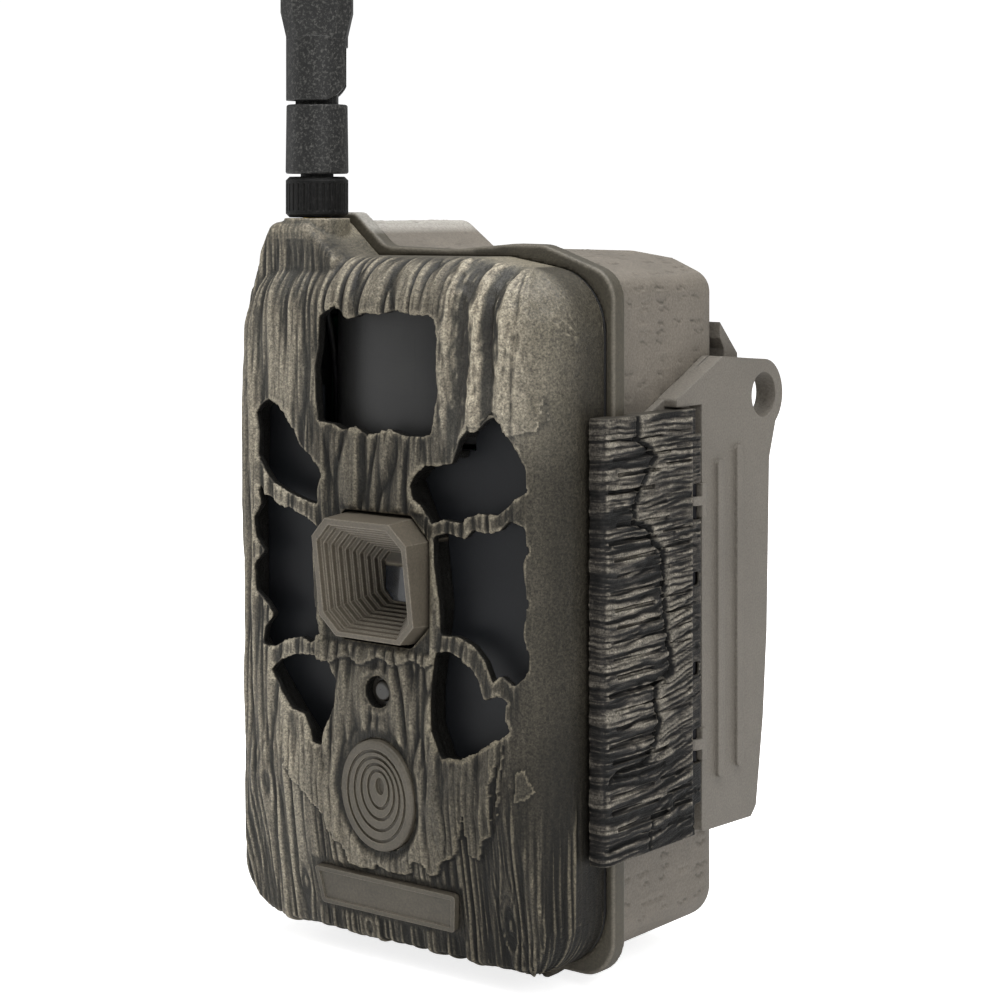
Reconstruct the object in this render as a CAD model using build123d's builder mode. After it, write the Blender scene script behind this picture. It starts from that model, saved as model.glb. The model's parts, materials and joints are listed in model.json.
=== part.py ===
from build123d import *
import os
from math import sin, cos, tan, radians, atan2, hypot, acos

os.makedirs("parts", exist_ok=True)

# Trail camera with a bark-textured door, tree bracket, side latch and folding antenna.
# Millimetres.  The front looks along -Y, +X is to the right seen from the front, +Z is up.
# Origin: mouth of the tripod socket under the rear shell.

CUT = Mode.SUBTRACT

# ---------------------------------------------------------------- shared dimensions
SEAM_Y = -19.0            # rear edge of the front shell (door)
FLANGE_Y0 = -18.7         # rear shell flange, front side
FLANGE_Y1 = -14.7         # rear shell flange, rear side
SEAL_Y = -17.5            # rear side of the gasket and of its groove
FACE_Y = -38.0            # flat of the front face
WALL_Y = -32.0            # inner side of the front wall
REAR_Y = 23.5             # outside of the rear wall
REAR_IN_Y = 21.2          # inside of the rear wall
SHELL_T = 2.4             # side wall of the front shell
EDGE_R = 11.5             # rounding of the front edge
HINGE_X, HINGE_Y = -47.5, -19.0       # door hinge axis
HINGE_KNUCKLE_R = 2.4
LATCH_X, LATCH_Y = 46.0, 7.5          # latch hinge axis
LATCH_KNUCKLE_R = 2.0
LATCH_Z0, LATCH_Z1 = 25.0, 112.3
LATCH_X0, LATCH_X1 = 44.0, 48.0       # inner and outer side of the latch
LATCH_GAPS = ((39.6, 46.7), (89.4, 96.9))   # knuckle openings in the latch, (z0, z1)
PIN_R = 1.0               # both hinge pins
PIN_CLEARANCE = 0.06
LENS_Z = 77.9             # optical axis
LIGHT_PIPE_Z = 55.3
ANTENNA_XY = (-27.0, -26.3)           # antenna axis
BRACKET_SCREWS = [(x, z) for z in (30.0, 112.0) for x in (-36.6, 36.6)]
BRACKET_SCREW_R = 1.3
PANEL_SCREWS = ((-36.0, 13.5), (36.0, 12.5), (36.0, 127.5), (-36.3, 123.5))
PANEL_SCREW_R = 1.25
BOARD_T = 1.6
MAIN_BOARD_Y = -15.6      # rear side of the main board
MAIN_BOARD_FRONT_Y = MAIN_BOARD_Y - BOARD_T


# ---------------------------------------------------------------- helpers
def at_y(y):
    """Sketch plane square to Y; a positive extrude runs toward the front."""
    return Plane.XZ.offset(-y)


def at_x(x):
    """Sketch plane square to X; a positive extrude runs toward +X."""
    return Plane.YZ.offset(x)


def at_z(z):
    return Plane.XY.offset(z)


def leaning_plane(y, z, angle):
    """Plane on the centre line facing the front, turned down by an angle in radians."""
    return Plane(origin=(0, y, z), x_dir=(1, 0, 0), z_dir=(0, -cos(angle), -sin(angle)))


def unit(start, end):
    """Unit direction between two corners."""
    length = hypot(end[0] - start[0], end[1] - start[1])
    return (end[0] - start[0]) / length, (end[1] - start[1]) / length


def inset(corners, distance):
    """Corners (a, b, radius) moved inward, corner radii kept concentric."""
    count = len(corners)
    double_area = sum(corners[i - 1][0] * corners[i][1] - corners[i][0] * corners[i - 1][1]
                      for i in range(count))
    sign = 1.0 if double_area > 0 else -1.0
    moved = []
    for i, (x, y, radius) in enumerate(corners):
        before = unit(corners[i - 1], corners[i])
        after = unit(corners[i], corners[(i + 1) % count])
        normal1 = (-before[1] * sign, before[0] * sign)
        normal2 = (-after[1] * sign, after[0] * sign)
        scale = distance / (1 + normal1[0] * normal2[0] + normal1[1] * normal2[1])
        turn = (before[0] * after[1] - before[1] * after[0]) * sign
        if radius != 0:
            radius = max(0.2, radius - distance if turn > 0 else radius + distance)
        moved.append((x + scale * (normal1[0] + normal2[0]),
                      y + scale * (normal1[1] + normal2[1]), radius))
    return moved


def draw_rounded(corners):
    """Closed outline of straight runs joined by tangent arcs, inside a BuildLine."""
    count = len(corners)
    bends = []            # (arc start, arc middle or None, arc end)
    for i, (x, y, radius) in enumerate(corners):
        if radius <= 0:
            bends.append(((x, y), None, (x, y)))
            continue
        back = unit(corners[i], corners[i - 1])
        ahead = unit(corners[i], corners[(i + 1) % count])
        half = acos(max(-1, min(1, back[0] * ahead[0] + back[1] * ahead[1]))) / 2
        tangent = radius / tan(half)
        middle = (back[0] + ahead[0], back[1] + ahead[1])
        reach = (radius / sin(half) - radius) / hypot(*middle)
        bends.append(((x + back[0] * tangent, y + back[1] * tangent),
                      (x + middle[0] * reach, y + middle[1] * reach),
                      (x + ahead[0] * tangent, y + ahead[1] * tangent)))
    for i, (start, middle, end) in enumerate(bends):
        if middle is not None:
            ThreePointArc(start, middle, end)
        following = bends[(i + 1) % count][0]
        if hypot(following[0] - end[0], following[1] - end[1]) > 1e-6:
            Line(end, following)


def outline_face(corners, mode=Mode.ADD):
    """Face for the current sketch; corners are (a, b) if sharp or (a, b, radius)."""
    with BuildSketch(mode=Mode.PRIVATE) as flat:
        with BuildLine():
            if len(corners[0]) == 2:
                Polyline(*corners, close=True)
            else:
                draw_rounded(corners)
        make_face()
    add(flat.sketch_local, mode=mode)


def octagon(half_width, half_height, corner, z=0.0):
    """Corners of a rectangle with its corners cut off at 45 degrees."""
    w, h = half_width, half_height
    return [(-w, z - h + corner), (-w, z + h - corner), (-w + corner, z + h),
            (w - corner, z + h), (w, z + h - corner), (w, z - h + corner),
            (w - corner, z - h), (-w + corner, z - h)]


def prism(plane, corners, amount, mode=Mode.ADD):
    with BuildPart(mode=Mode.PRIVATE) as bar:
        with BuildSketch(plane):
            outline_face(corners)
        extrude(amount=amount)
    add(bar.part, mode=mode)


def block(x0, x1, y0, y1, z0, z1, mode=Mode.ADD):
    with Locations(((x0 + x1) / 2, (y0 + y1) / 2, (z0 + z1) / 2)):
        Box(x1 - x0, y1 - y0, z1 - z0, mode=mode)


def rod(plane, a, b, radius, length, mode):
    with BuildPart(mode=Mode.PRIVATE) as bar:
        with BuildSketch(plane):
            with Locations((a, b)):
                Circle(radius)
        extrude(amount=length)
    add(bar.part, mode=mode)


def rod_x(y, z, radius, x0, x1, mode=Mode.ADD):
    rod(at_x(x0), y, z, radius, x1 - x0, mode)


def rod_y(x, z, radius, y0, y1, mode=Mode.ADD):
    rod(at_y(y1), x, z, radius, y1 - y0, mode)


def rod_z(x, y, radius, z0, z1, mode=Mode.ADD):
    rod(at_z(z0), x, y, radius, z1 - z0, mode)


def cross_recess(x, z, y, width, slot, depth):
    """Cut a cross into a screw head from y toward the front."""
    with BuildPart(mode=Mode.PRIVATE) as cross:
        with BuildSketch(at_y(y)):
            with Locations((x, z)):
                Rectangle(width, slot)
                Rectangle(slot, width)
        extrude(amount=depth)
    add(cross.part, mode=CUT)


def circles_of(radius):
    """Edge filter for circles of one radius."""
    return lambda edge: abs(edge.radius - radius) < 0.01


def save(part, name):
    part.label = name
    export_step(part, "parts/" + name + ".step")


# ---------------------------------------------------------------- outlines (x, z, corner radius)
SHELL = [(-43, 2.0, 13), (-43, 130.2, 14), (-37.1, 143.0, 12.5), (20, 143.4, 0),
         (43, 139.6, 13), (43, 2.0, 12.5)]
TOWER = [(-40.3, 118, 2), (-40.3, 135, 3), (-34.0, 150.2, 3), (-23.8, 150.2, 2),
         (-15.0, 142.6, 2), (-15.0, 118, 2)]
TOWER_HOLLOW = [(-38.0, 120, 0), (-38.0, 134.4, 2), (-32.6, 147.6, 1.5), (-24.6, 147.6, 1),
                (-16.8, 140.8, 1), (-16.8, 120, 0)]
FLANGE = [(-45, 0.6, 11), (-45, 131.0, 6), (-34.6, 152.2, 3), (-23.0, 152.2, 2),
          (-14.4, 145.1, 4), (4, 144.6, 0), (20, 146.0, 8), (27.5, 145.9, 8), (45, 139.9, 7),
          (45, 0.6, 8), (32, 0.6, 1.5), (28.0, -2.1, 1.0), (23.4, 0.6, 1.5),
          (-25.6, 0.6, 1.5), (-29.4, -1.8, 1.0), (-32.4, 0.6, 0.6)]
REAR = [(-42, 3.4, 9), (-42, 130.4, 5), (-33.2, 150.2, 3), (-23.3, 150.2, 2),
        (-15.2, 144.2, 4), (23, 144.0, 0), (33, 142.6, 0), (42, 138.8, 5), (42, 3.4, 7)]

# Ragged openings in the outer skin of the bark front, (x, z)
PIR_EDGE = [
    (-15.9, 131.0), (-13.4, 132.6), (-11.3, 133.4), (-9.6, 131.6), (-6.6, 130.8), (-3.3, 132.4),
    (1.2, 131.9), (5.7, 133.0), (8.5, 132.2), (13.4, 132.3), (15.3, 130.9), (16.0, 127.6),
    (15.4, 124.5), (15.9, 117.6), (15.3, 113.4), (14.2, 108.3), (11.2, 107.6), (7.5, 107.5),
    (3.4, 108.5), (-0.5, 107.6), (-2.7, 106.9), (-5.4, 108.4), (-9.6, 107.9), (-11.9, 108.9),
    (-16.3, 109.2), (-16.9, 113.5), (-17.3, 120.3), (-16.4, 124.7)]
LEFT_UP = [
    (-34.0, 110.2), (-32.1, 112.3), (-29.6, 113.3), (-27.2, 112.4), (-24.2, 109.9),
    (-23.0, 106.9), (-21.6, 103.9), (-18.3, 101.9), (-15.4, 99.5), (-14.8, 98.0), (-16.0, 95.8),
    (-16.3, 91.9), (-21.3, 93.0), (-25.4, 94.2), (-29.2, 95.8), (-31.6, 98.5), (-33.4, 101.0),
    (-33.2, 106.3)]
LEFT_MID = [
    (-33.6, 96.4), (-31.6, 93.4), (-27.6, 91.8), (-23.6, 90.6), (-19.6, 89.4), (-16.6, 87.6),
    (-17.4, 82.0), (-17.6, 76.0), (-17.0, 71.0), (-15.2, 68.0), (-14.6, 65.2), (-18.0, 63.2),
    (-21.0, 64.2), (-25.6, 62.8), (-29.2, 61.0), (-32.0, 61.6), (-31.2, 65.2), (-28.8, 68.0),
    (-31.0, 70.4), (-34.2, 72.6), (-34.6, 78.2), (-31.6, 81.0), (-34.2, 84.0), (-34.8, 88.0),
    (-32.4, 91.0)]
LEFT_LOW = [
    (-29.4, 56.6), (-26.8, 58.8), (-23.6, 60.2), (-18.9, 60.9), (-14.8, 60.6), (-13.0, 59.6),
    (-11.3, 56.0), (-11.0, 52.1), (-12.5, 50.2), (-14.2, 45.2), (-15.1, 42.5), (-17.7, 42.6),
    (-18.3, 45.1), (-20.1, 48.3), (-23.6, 48.9), (-26.6, 52.3)]
RIGHT_UP = [
    (8.5, 97.8), (10.1, 100.4), (12.3, 101.9), (16.0, 102.2), (19.3, 102.8), (20.9, 107.4),
    (23.1, 109.6), (25.7, 109.6), (27.3, 111.5), (29.6, 112.6), (31.8, 111.6), (33.0, 109.0),
    (34.7, 106.9), (36.6, 103.1), (36.9, 98.3), (34.6, 96.9), (32.7, 94.9), (30.6, 93.4),
    (26.4, 93.4), (23.6, 92.6), (22.2, 91.2), (17.2, 91.6), (14.2, 90.4), (11.4, 93.8),
    (9.2, 95.0)]
RIGHT_MID = [
    (14.6, 88.0), (18.0, 89.0), (22.6, 88.2), (24.6, 90.2), (28.2, 89.8), (31.4, 90.6),
    (33.6, 92.6), (36.6, 91.4), (37.1, 86.6), (36.1, 84.2), (37.1, 76.6), (36.1, 70.8),
    (37.4, 66.5), (36.9, 62.8), (34.5, 60.6), (31.6, 62.4), (29.8, 60.4), (27.6, 64.8),
    (24.8, 67.4), (20.9, 68.8), (16.4, 68.6), (16.3, 72.2), (16.1, 75.2), (14.7, 82.6)]
RIGHT_LOW = [
    (15.2, 65.0), (18.4, 65.6), (21.2, 64.8), (24.0, 63.4), (26.2, 60.6), (27.6, 57.0),
    (30.8, 58.6), (33.2, 57.6), (32.7, 54.4), (34.0, 51.6), (31.4, 49.8), (25.7, 46.5),
    (22.5, 44.6), (16.6, 44.2), (14.2, 49.0), (13.9, 52.8), (13.9, 57.4)]
# Larger recesses behind the left and the right openings, (x, z)
LEFT_BACK = [
    (-34.9, 111), (-29.6, 114.2), (-21, 106), (-14.2, 99), (-15.6, 92), (-16.2, 80),
    (-14.0, 66.2), (-10.4, 57), (-10.4, 52), (-14.6, 41.8), (-18.2, 41.8), (-24, 47.8),
    (-30, 55), (-35.2, 62), (-35.6, 90)]
RIGHT_BACK = [
    (8, 98.2), (12, 102.6), (19, 103.6), (22.5, 110.2), (29.6, 113.4), (37.4, 104), (38.0, 86),
    (38.0, 62), (34.8, 50.8), (25, 45.4), (22, 43.8), (16.2, 43.4), (13.3, 50), (13.3, 58),
    (14.6, 66), (15.6, 74), (14.0, 86), (10.6, 93)]

# ================================================================ REAR HALF
INLET_X, INLET_Y = 24.0, 4.0          # power inlet axis
BOSS_R = 7.5                          # tripod boss
INSERT_R, INSERT_H = 4.5, 12.0        # tripod insert
SOCKET_R, SOCKET_L = 2.55, 10.0       # tapped wall of the 1/4 inch tripod socket

with BuildPart() as rear_housing:
    prism(at_y(FLANGE_Y1), FLANGE, FLANGE_Y1 - FLANGE_Y0)
    prism(at_y(REAR_Y), REAR, REAR_Y - FLANGE_Y1)
    fillet(rear_housing.faces().sort_by(Axis.Y)[-1].edges(), 4.5)
    # tripod boss below the floor; the cavity cut goes before its inner half
    rod_z(0, 0, BOSS_R, 0.0, 6.0)
    prism(at_y(REAR_IN_Y), inset(REAR, 2.3), REAR_IN_Y - FLANGE_Y0 + 1, CUT)
    rod_z(0, 0, BOSS_R, 5.0, 14.5)
    rod_z(0, 0, INSERT_R, 0.0, INSERT_H, CUT)
    # gasket groove in the flange
    with BuildSketch(at_y(SEAL_Y)):
        outline_face(inset(SHELL, 0.2))
        outline_face(inset(SHELL, 2.2), mode=CUT)
    extrude(amount=3.0, mode=CUT)
    # bosses for the bracket screws, reaching into the side walls
    for x, z in BRACKET_SCREWS:
        x0, x1 = (33.6, 40.0) if x > 0 else (-40.0, -33.6)
        block(x0, x1, 13.0, 21.4, z - 3.2, z + 3.2)
        rod_y(x, z, BRACKET_SCREW_R, 14.5, 24.0, CUT)
    # power inlet
    rod_z(INLET_X, INLET_Y, 4.1, 3.0, 6.0, CUT)
    # drain slots under the flange
    for x in (-12, 12):
        block(x - 3, x + 3, -16.4, -15.2, -1.0, 8.0, CUT)
    # door hinge knuckles
    for z in (22.0, 100.0):
        rod_z(HINGE_X, HINGE_Y, HINGE_KNUCKLE_R, z, z + 12)
        block(HINGE_X, -44.8, -18.65, -16.7, z, z + 12)
    rod_z(HINGE_X, HINGE_Y, PIN_R, 10, 120, CUT)
save(rear_housing.part, "rear_housing")

with BuildPart() as door_gasket:
    with BuildSketch(at_y(SEAL_Y)):
        outline_face(inset(SHELL, 0.25))
        outline_face(inset(SHELL, 2.15), mode=CUT)
    extrude(amount=1.36)
save(door_gasket.part, "door_gasket")

with BuildPart() as tripod_insert:
    rod_z(0, 0, INSERT_R, 0.0, INSERT_H)
    rod_z(0, 0, SOCKET_R, 0.0, SOCKET_L, CUT)
    rims = tripod_insert.edges().filter_by(GeomType.CIRCLE).filter_by(circles_of(INSERT_R))
    chamfer(rims.filter_by(lambda edge: edge.center().Z > 6), 0.4)
save(tripod_insert.part, "tripod_insert")

with BuildPart() as dc_jack:
    block(INLET_X - 4.5, INLET_X + 4.5, INLET_Y - 5.5, INLET_Y + 5.5, 5.75, 16.8)
    rod_z(INLET_X, INLET_Y, 2.75, 5.0, 15.0, CUT)
    rod_z(INLET_X, INLET_Y, 1.0, 7.5, 15.5)     # centre pin
save(dc_jack.part, "dc_jack")

with BuildPart() as dc_port_plug:
    rod_z(INLET_X, INLET_Y, 5.6, 1.7, 3.4)      # cap
    fillet(dc_port_plug.faces().sort_by(Axis.Z)[0].edges(), 0.6)
    rod_z(INLET_X, INLET_Y, 4.02, 3.3, 5.7)
    rod_z(INLET_X, INLET_Y, 2.68, 5.6, 12.5)
    rod_z(INLET_X, INLET_Y, 1.15, 6.6, 13.0, CUT)
    block(INLET_X - 5.4, INLET_X + 5.4, INLET_Y - 9.0, INLET_Y - 4.6, 1.9, 3.3)   # pull tab
save(dc_port_plug.part, "dc_port_plug")

# ---- batteries: two rows of four cells, every other cell upside down
CELL_R, CELL_Y, CELL_PITCH = 7.1, 11.8, 16.2
CELL_ROWS = (18.6, 73.8)              # bottom of the pockets
POCKET_R, POCKET_H = 7.5, 53.6
CELLS = [(CELL_PITCH * (i - 1.5), z, i % 2 == 0) for z in CELL_ROWS for i in range(4)]
CONTACT_HALF_DEPTH = 3                # springs and plates, along Y


def cell_span(z, upright, low, high):
    """Z range in a pocket, measured from its top when the cell is upside down."""
    return (z + low, z + high) if upright else (z + POCKET_H - high, z + POCKET_H - low)


with BuildPart() as battery_tray:
    block(-33.5, 33.5, 3.0, 20.6, 17.0, 129.0)
    fillet(battery_tray.edges().filter_by(Axis.Y), 2.0)
    for x, z, _ in CELLS:
        rod_z(x, CELL_Y, POCKET_R, z, z + POCKET_H, CUT)
        block(x - POCKET_R, x + POCKET_R, 2.0, CELL_Y, z, z + POCKET_H, CUT)
    # finger scoops across the cell dividers
    for z in CELL_ROWS:
        block(-31.8, 31.8, 2.0, 7.0, z + 17, z + 37, CUT)
    # snap rails at the two ends
    for z in (15.6, 128.8):
        block(-14, 14, 16.0, 20.6, z, z + 1.6)
save(battery_tray.part, "battery_tray")

with BuildPart() as aa_cells:
    for x, z, upright in CELLS:
        rod_z(x, CELL_Y, CELL_R, *cell_span(z, upright, 3.2, 51.8))
        rod_z(x, CELL_Y, 2.7, *cell_span(z, upright, 51.7, 53.2))
    fillet(aa_cells.edges().filter_by(GeomType.CIRCLE).filter_by(circles_of(CELL_R)), 0.5)
save(aa_cells.part, "aa_cells")

# side view of a leaf spring, (across, away from the pocket end)
LEAF = [(-4, 0), (4, 0), (4, 0.3), (-3.3, 0.3), (2.5, 2.7), (4.2, 2.2), (4.3, 2.5), (2.5, 3.0),
        (-4, 0.5)]
with BuildPart() as cell_springs:
    for x, z, upright in CELLS:
        foot, up = (z + 0.1, 1) if upright else (z + POCKET_H - 0.1, -1)
        prism(at_y(CELL_Y + CONTACT_HALF_DEPTH),
              [(x + across, foot + up * away) for across, away in LEAF], 2 * CONTACT_HALF_DEPTH)
save(cell_springs.part, "cell_springs")

with BuildPart() as cell_plates:
    for x, z, upright in CELLS:
        block(x - 4, x + 4, CELL_Y - CONTACT_HALF_DEPTH, CELL_Y + CONTACT_HALF_DEPTH,
              *cell_span(z, upright, POCKET_H - 0.38, POCKET_H - 0.02))
save(cell_plates.part, "cell_plates")

# ---- two plungers between the rear half and the door pads
PLUNGER_X, PLUNGER_R = -36.7, 0.9
PLUNGER_ZS = (64.0, 72.0)
with BuildPart() as plunger_block:
    block(-39.4, -34.0, -12.0, 20.4, 58.0, 78.0)
    fillet(plunger_block.edges().filter_by(Axis.Y), 0.8)
    for z in PLUNGER_ZS:
        rod_y(PLUNGER_X, z, PLUNGER_R, -12.5, -6.0, CUT)
save(plunger_block.part, "plunger_block")

with BuildPart() as plungers:
    for z in PLUNGER_ZS:
        rod_y(PLUNGER_X, z, PLUNGER_R, -18.9, -6.0)
    tips = plungers.faces().filter_by(Axis.Y).filter_by(lambda face: face.center().Y < -18)
    fillet(tips.edges(), 0.6)
save(plungers.part, "plungers")

# ---- tree bracket: two wings, a back plate and the cable eyes
WING_X0, WING_X1 = 42.1, 47.0
SIDE_PLATE_X1 = 43.8
EYE_Y, EYE_Z, EYE_R, EYE_OUTER_R = 33.8, 113.3, 4.8, 7.6
BEVEL_ANGLE = radians(24.6)
RIB_HEIGHT, RIB_WIDTH = 1.0, 2.4
RIB_X0 = WING_X1 - 0.1
TOOTH_PITCH = 3.4
# side view of a wing, (y, z, corner radius)
WING = [(9.8, 24.8, 0.8), (28.7, 24.2, 0.8), (30.7, 26.2, 1.2), (33.5, 44.8, 0),
        (35.0, 62.8, 0), (36.0, 99.7, 5), (38.6, 107.4, 0), (33.8, 120.9, 0), (17.2, 122.3, 3.0),
        (9.8, 118.6, 0), (0.6, 114.3, 0.8), (0.6, 112.8, 0), (9.8, 112.8, 0)]
# side views, (y, z): thin plate ahead of a wing, back plate, gusset
SIDE_PLATE = [(9.9, 26.0), (-12.0, 26.0), (-12.0, 108.4), (0.6, 114.1), (9.9, 118.4)]
BACK_PLATE = [(25.8, 30.0), (28.4, 30.0), (28.4, 124.2), (24.2, 129.0), (24.2, 125.6),
              (25.8, 123.6)]
GUSSET = [(24.2, 129.0), (31.0, 122.1), (31.0, 100.0), (28.0, 97.0), (26.0, 97.0),
          (26.0, 123.0), (24.2, 125.8)]
# section of the bevel cut, (along X outward, away from the corner)
BEVEL = [(-3.6, 0.01), (0.5, 0.01), (0.5, -5.2), (0.01, -5.2)]


def low_x(side, x0, x1):
    """Lower X of the span x0..x1, or of its mirror image when side is -1."""
    return x0 if side > 0 else -x1


with BuildPart() as tree_bracket:
    for side in (1, -1):
        with BuildSketch(at_x(low_x(side, WING_X0, WING_X1))):
            outline_face(WING)
            with Locations((EYE_Y, EYE_Z)):
                Circle(EYE_OUTER_R)
        extrude(amount=WING_X1 - WING_X0)
        prism(at_x(low_x(side, WING_X0, SIDE_PLATE_X1)), SIDE_PLATE, SIDE_PLATE_X1 - WING_X0)
        # bevel along the sloping top edge
        with BuildSketch(Plane(origin=(side * WING_X1, 9.8, 118.6), x_dir=(side, 0, 0),
                               z_dir=(0, cos(BEVEL_ANGLE), sin(BEVEL_ANGLE)))):
            outline_face([(outward, side * away) for outward, away in BEVEL])
        extrude(amount=12, both=True, mode=CUT)
        # raised stiffening ribs on the outside of the wing
        for y, z0, z1 in ((15.9, 35.0, 101.0), (23.2, 36.0, 103.5)):
            with BuildSketch(at_x(low_x(side, RIB_X0, RIB_X0 + RIB_HEIGHT))):
                with Locations((y, (z0 + z1) / 2)):
                    SlotOverall(z1 - z0, RIB_WIDTH, rotation=90)
            extrude(amount=RIB_HEIGHT)
    # back plate standing off the rear wall, with gussets at its sides
    prism(at_x(-WING_X0), BACK_PLATE, 2 * WING_X0)
    for x in (38.2, -WING_X0):
        prism(at_x(x), GUSSET, 3.9)
    # relief windows in the back plate
    for z0, z1 in ((40.0, 62.0), (72.0, 98.0)):
        with BuildSketch(at_y(30.0)):
            with Locations((0, (z0 + z1) / 2)):
                RectangleRounded(26, z1 - z0, 4)
        extrude(amount=6, mode=CUT)
    # toothed rails that bite into the trunk
    for x in (-27.0, 21.0):
        teeth = [(28.2, 34.0)]
        z = 36.0
        while z < 104:
            teeth += [(32.6, z), (30.6, z + TOOTH_PITCH)]
            z += TOOTH_PITCH
        teeth += [(28.2, z)]
        prism(at_x(x), teeth, 6.0)
    # stand-off pads, screw holes and counterbores
    for x, z in BRACKET_SCREWS:
        rod_y(x, z, 4.5, REAR_Y, 26.2)
        rod_y(x, z, 1.6, 20.0, 30.0, CUT)
        rod_y(x, z, 2.9, 26.6, 33.0, CUT)
    rod_x(EYE_Y, EYE_Z, EYE_R, -60, 60, CUT)
    # latch knuckles and the webs behind them
    for z0, z1 in ((42.2, 44.3), (92.25, 94.05)):
        rod_z(LATCH_X, LATCH_Y, LATCH_KNUCKLE_R, z0, z1)
        block(LATCH_X0, LATCH_X1, LATCH_Y, 8.6, z0, z1)
    for z0, z1 in LATCH_GAPS:
        block(LATCH_X0, LATCH_X1, 8.5, 9.95, z0 + 0.3, z1 - 0.3)
    rod_z(LATCH_X, LATCH_Y, PIN_R, 30, 105, CUT)
save(tree_bracket.part, "tree_bracket")

with BuildPart() as bracket_screws:
    for x, z in BRACKET_SCREWS:
        rod_y(x, z, 2.75, 26.6, 28.5)
        rod_y(x, z, BRACKET_SCREW_R, 15.0, 26.7)
        cross_recess(x, z, y=28.6, width=3.2, slot=0.8, depth=1.2)
save(bracket_screws.part, "bracket_screws")

with BuildPart() as door_hinge_pin:
    rod_z(HINGE_X, HINGE_Y, PIN_R, 21.5, 112.5)
    for z in (112.05, 21.0):          # heads
        rod_z(HINGE_X, HINGE_Y, 1.6, z, z + 0.95)
save(door_hinge_pin.part, "door_hinge_pin")

with BuildPart() as latch_hinge_pin:
    rod_z(LATCH_X, LATCH_Y, PIN_R, 36.0, 102.0)
save(latch_hinge_pin.part, "latch_hinge_pin")

# ================================================================ SIDE LATCH
CUT_X0, CUT_X1 = 43.5, 48.5           # clear of both sides of the latch
STREAK_COUNT, STREAK_PITCH = 25, 3.3
with BuildPart() as side_latch:
    with BuildSketch(at_z(LATCH_Z0)):
        outline_face([(LATCH_X0, -25.9, 0.5), (LATCH_X1, -25.9, 1.6), (LATCH_X1, LATCH_Y, 0),
                      (LATCH_X0, LATCH_Y, 0)])
        with Locations((LATCH_X, LATCH_Y)):
            Circle(LATCH_KNUCKLE_R)
    extrude(amount=LATCH_Z1 - LATCH_Z0)
    # channel that clears the flange
    block(CUT_X0, 45.5, -19.5, -14.0, 20, 120, CUT)
    # knuckle openings and sight slots over the pin
    for z0, z1 in LATCH_GAPS:
        block(CUT_X0, CUT_X1, 5.2, 10.0, z0, z1, CUT)
    for z in (59.0, 77.4):
        block(CUT_X0, CUT_X1, 5.3, 7.6, z - 1.4, z + 1.4, CUT)
    # relief at the two ends of the rear edge
    block(CUT_X0, CUT_X1, 6.2, 10.0, 107.0, 113.0, CUT)
    block(CUT_X0, CUT_X1, 5.8, 10.0, 24.0, 31.4, CUT)
    rod_z(LATCH_X, LATCH_Y, PIN_R + PIN_CLEARANCE, 34.0, 104.0, CUT)
    # detent bead against the door
    prism(at_z(40.0), [(44.1, -24.6), (43.4, -23.9), (43.4, -23.3), (44.1, -21.4)], 58.0)
    # streaked bark relief; the rear streaks skip the openings
    for k in range(STREAK_COUNT):
        z = 28.0 + STREAK_PITCH * k
        depth = 0.45 + 0.3 * ((k * 7) % 4) / 3.0
        y1 = -6.0 + 3.0 * sin(k * 1.7)
        block(LATCH_X1 - depth, 49.0, -24.4 + 1.2 * ((k * 5) % 3), y1, z, z + 1.1, CUT)
        if z < 38 or 48 < z < 56 or 61.5 < z < 75 or 80 < z < 88 or z > 98:
            block(LATCH_X1 - depth * 0.8, 49.0, y1 + 1.8, 4.6, z + 0.8, z + 1.7, CUT)
save(side_latch.part, "side_latch")

# ================================================================ FRONT DOOR
CHIN_TOP_Z, CHIN_CUT_Z = 35.0, -6.0   # ends of the cut for the receding chin
CHIN_SLOPE = 4.8 / 29.0               # setback per height
chin_plane = leaning_plane(-34.45, 13.2, atan2(4.8, 29.0))
badge_plane = leaning_plane(-35.3, 34.5, radians(4.0))
PAD_Z = 151.0                         # top of the pad under the antenna
HOOD_Z = 78.35                        # centre of the lens hood
HOOD_REAR_Y = -30.0
# name plate outline on the chin plane, (x, up, corner radius)
PLATE = [(-17.6, -4.0, 0.8), (-18.8, 3.9, 0.8), (18.8, 3.9, 0.8), (17.6, -4.0, 0.8)]

# shoulder that carries the antenna
with BuildPart() as shoulder:
    prism(at_y(SEAM_Y), TOWER, 15.2)
    front_edges = shoulder.faces().sort_by(Axis.Y)[0].edges()
    fillet(front_edges.filter_by(lambda edge: edge.center().Z > 126), 1.8)

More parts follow.
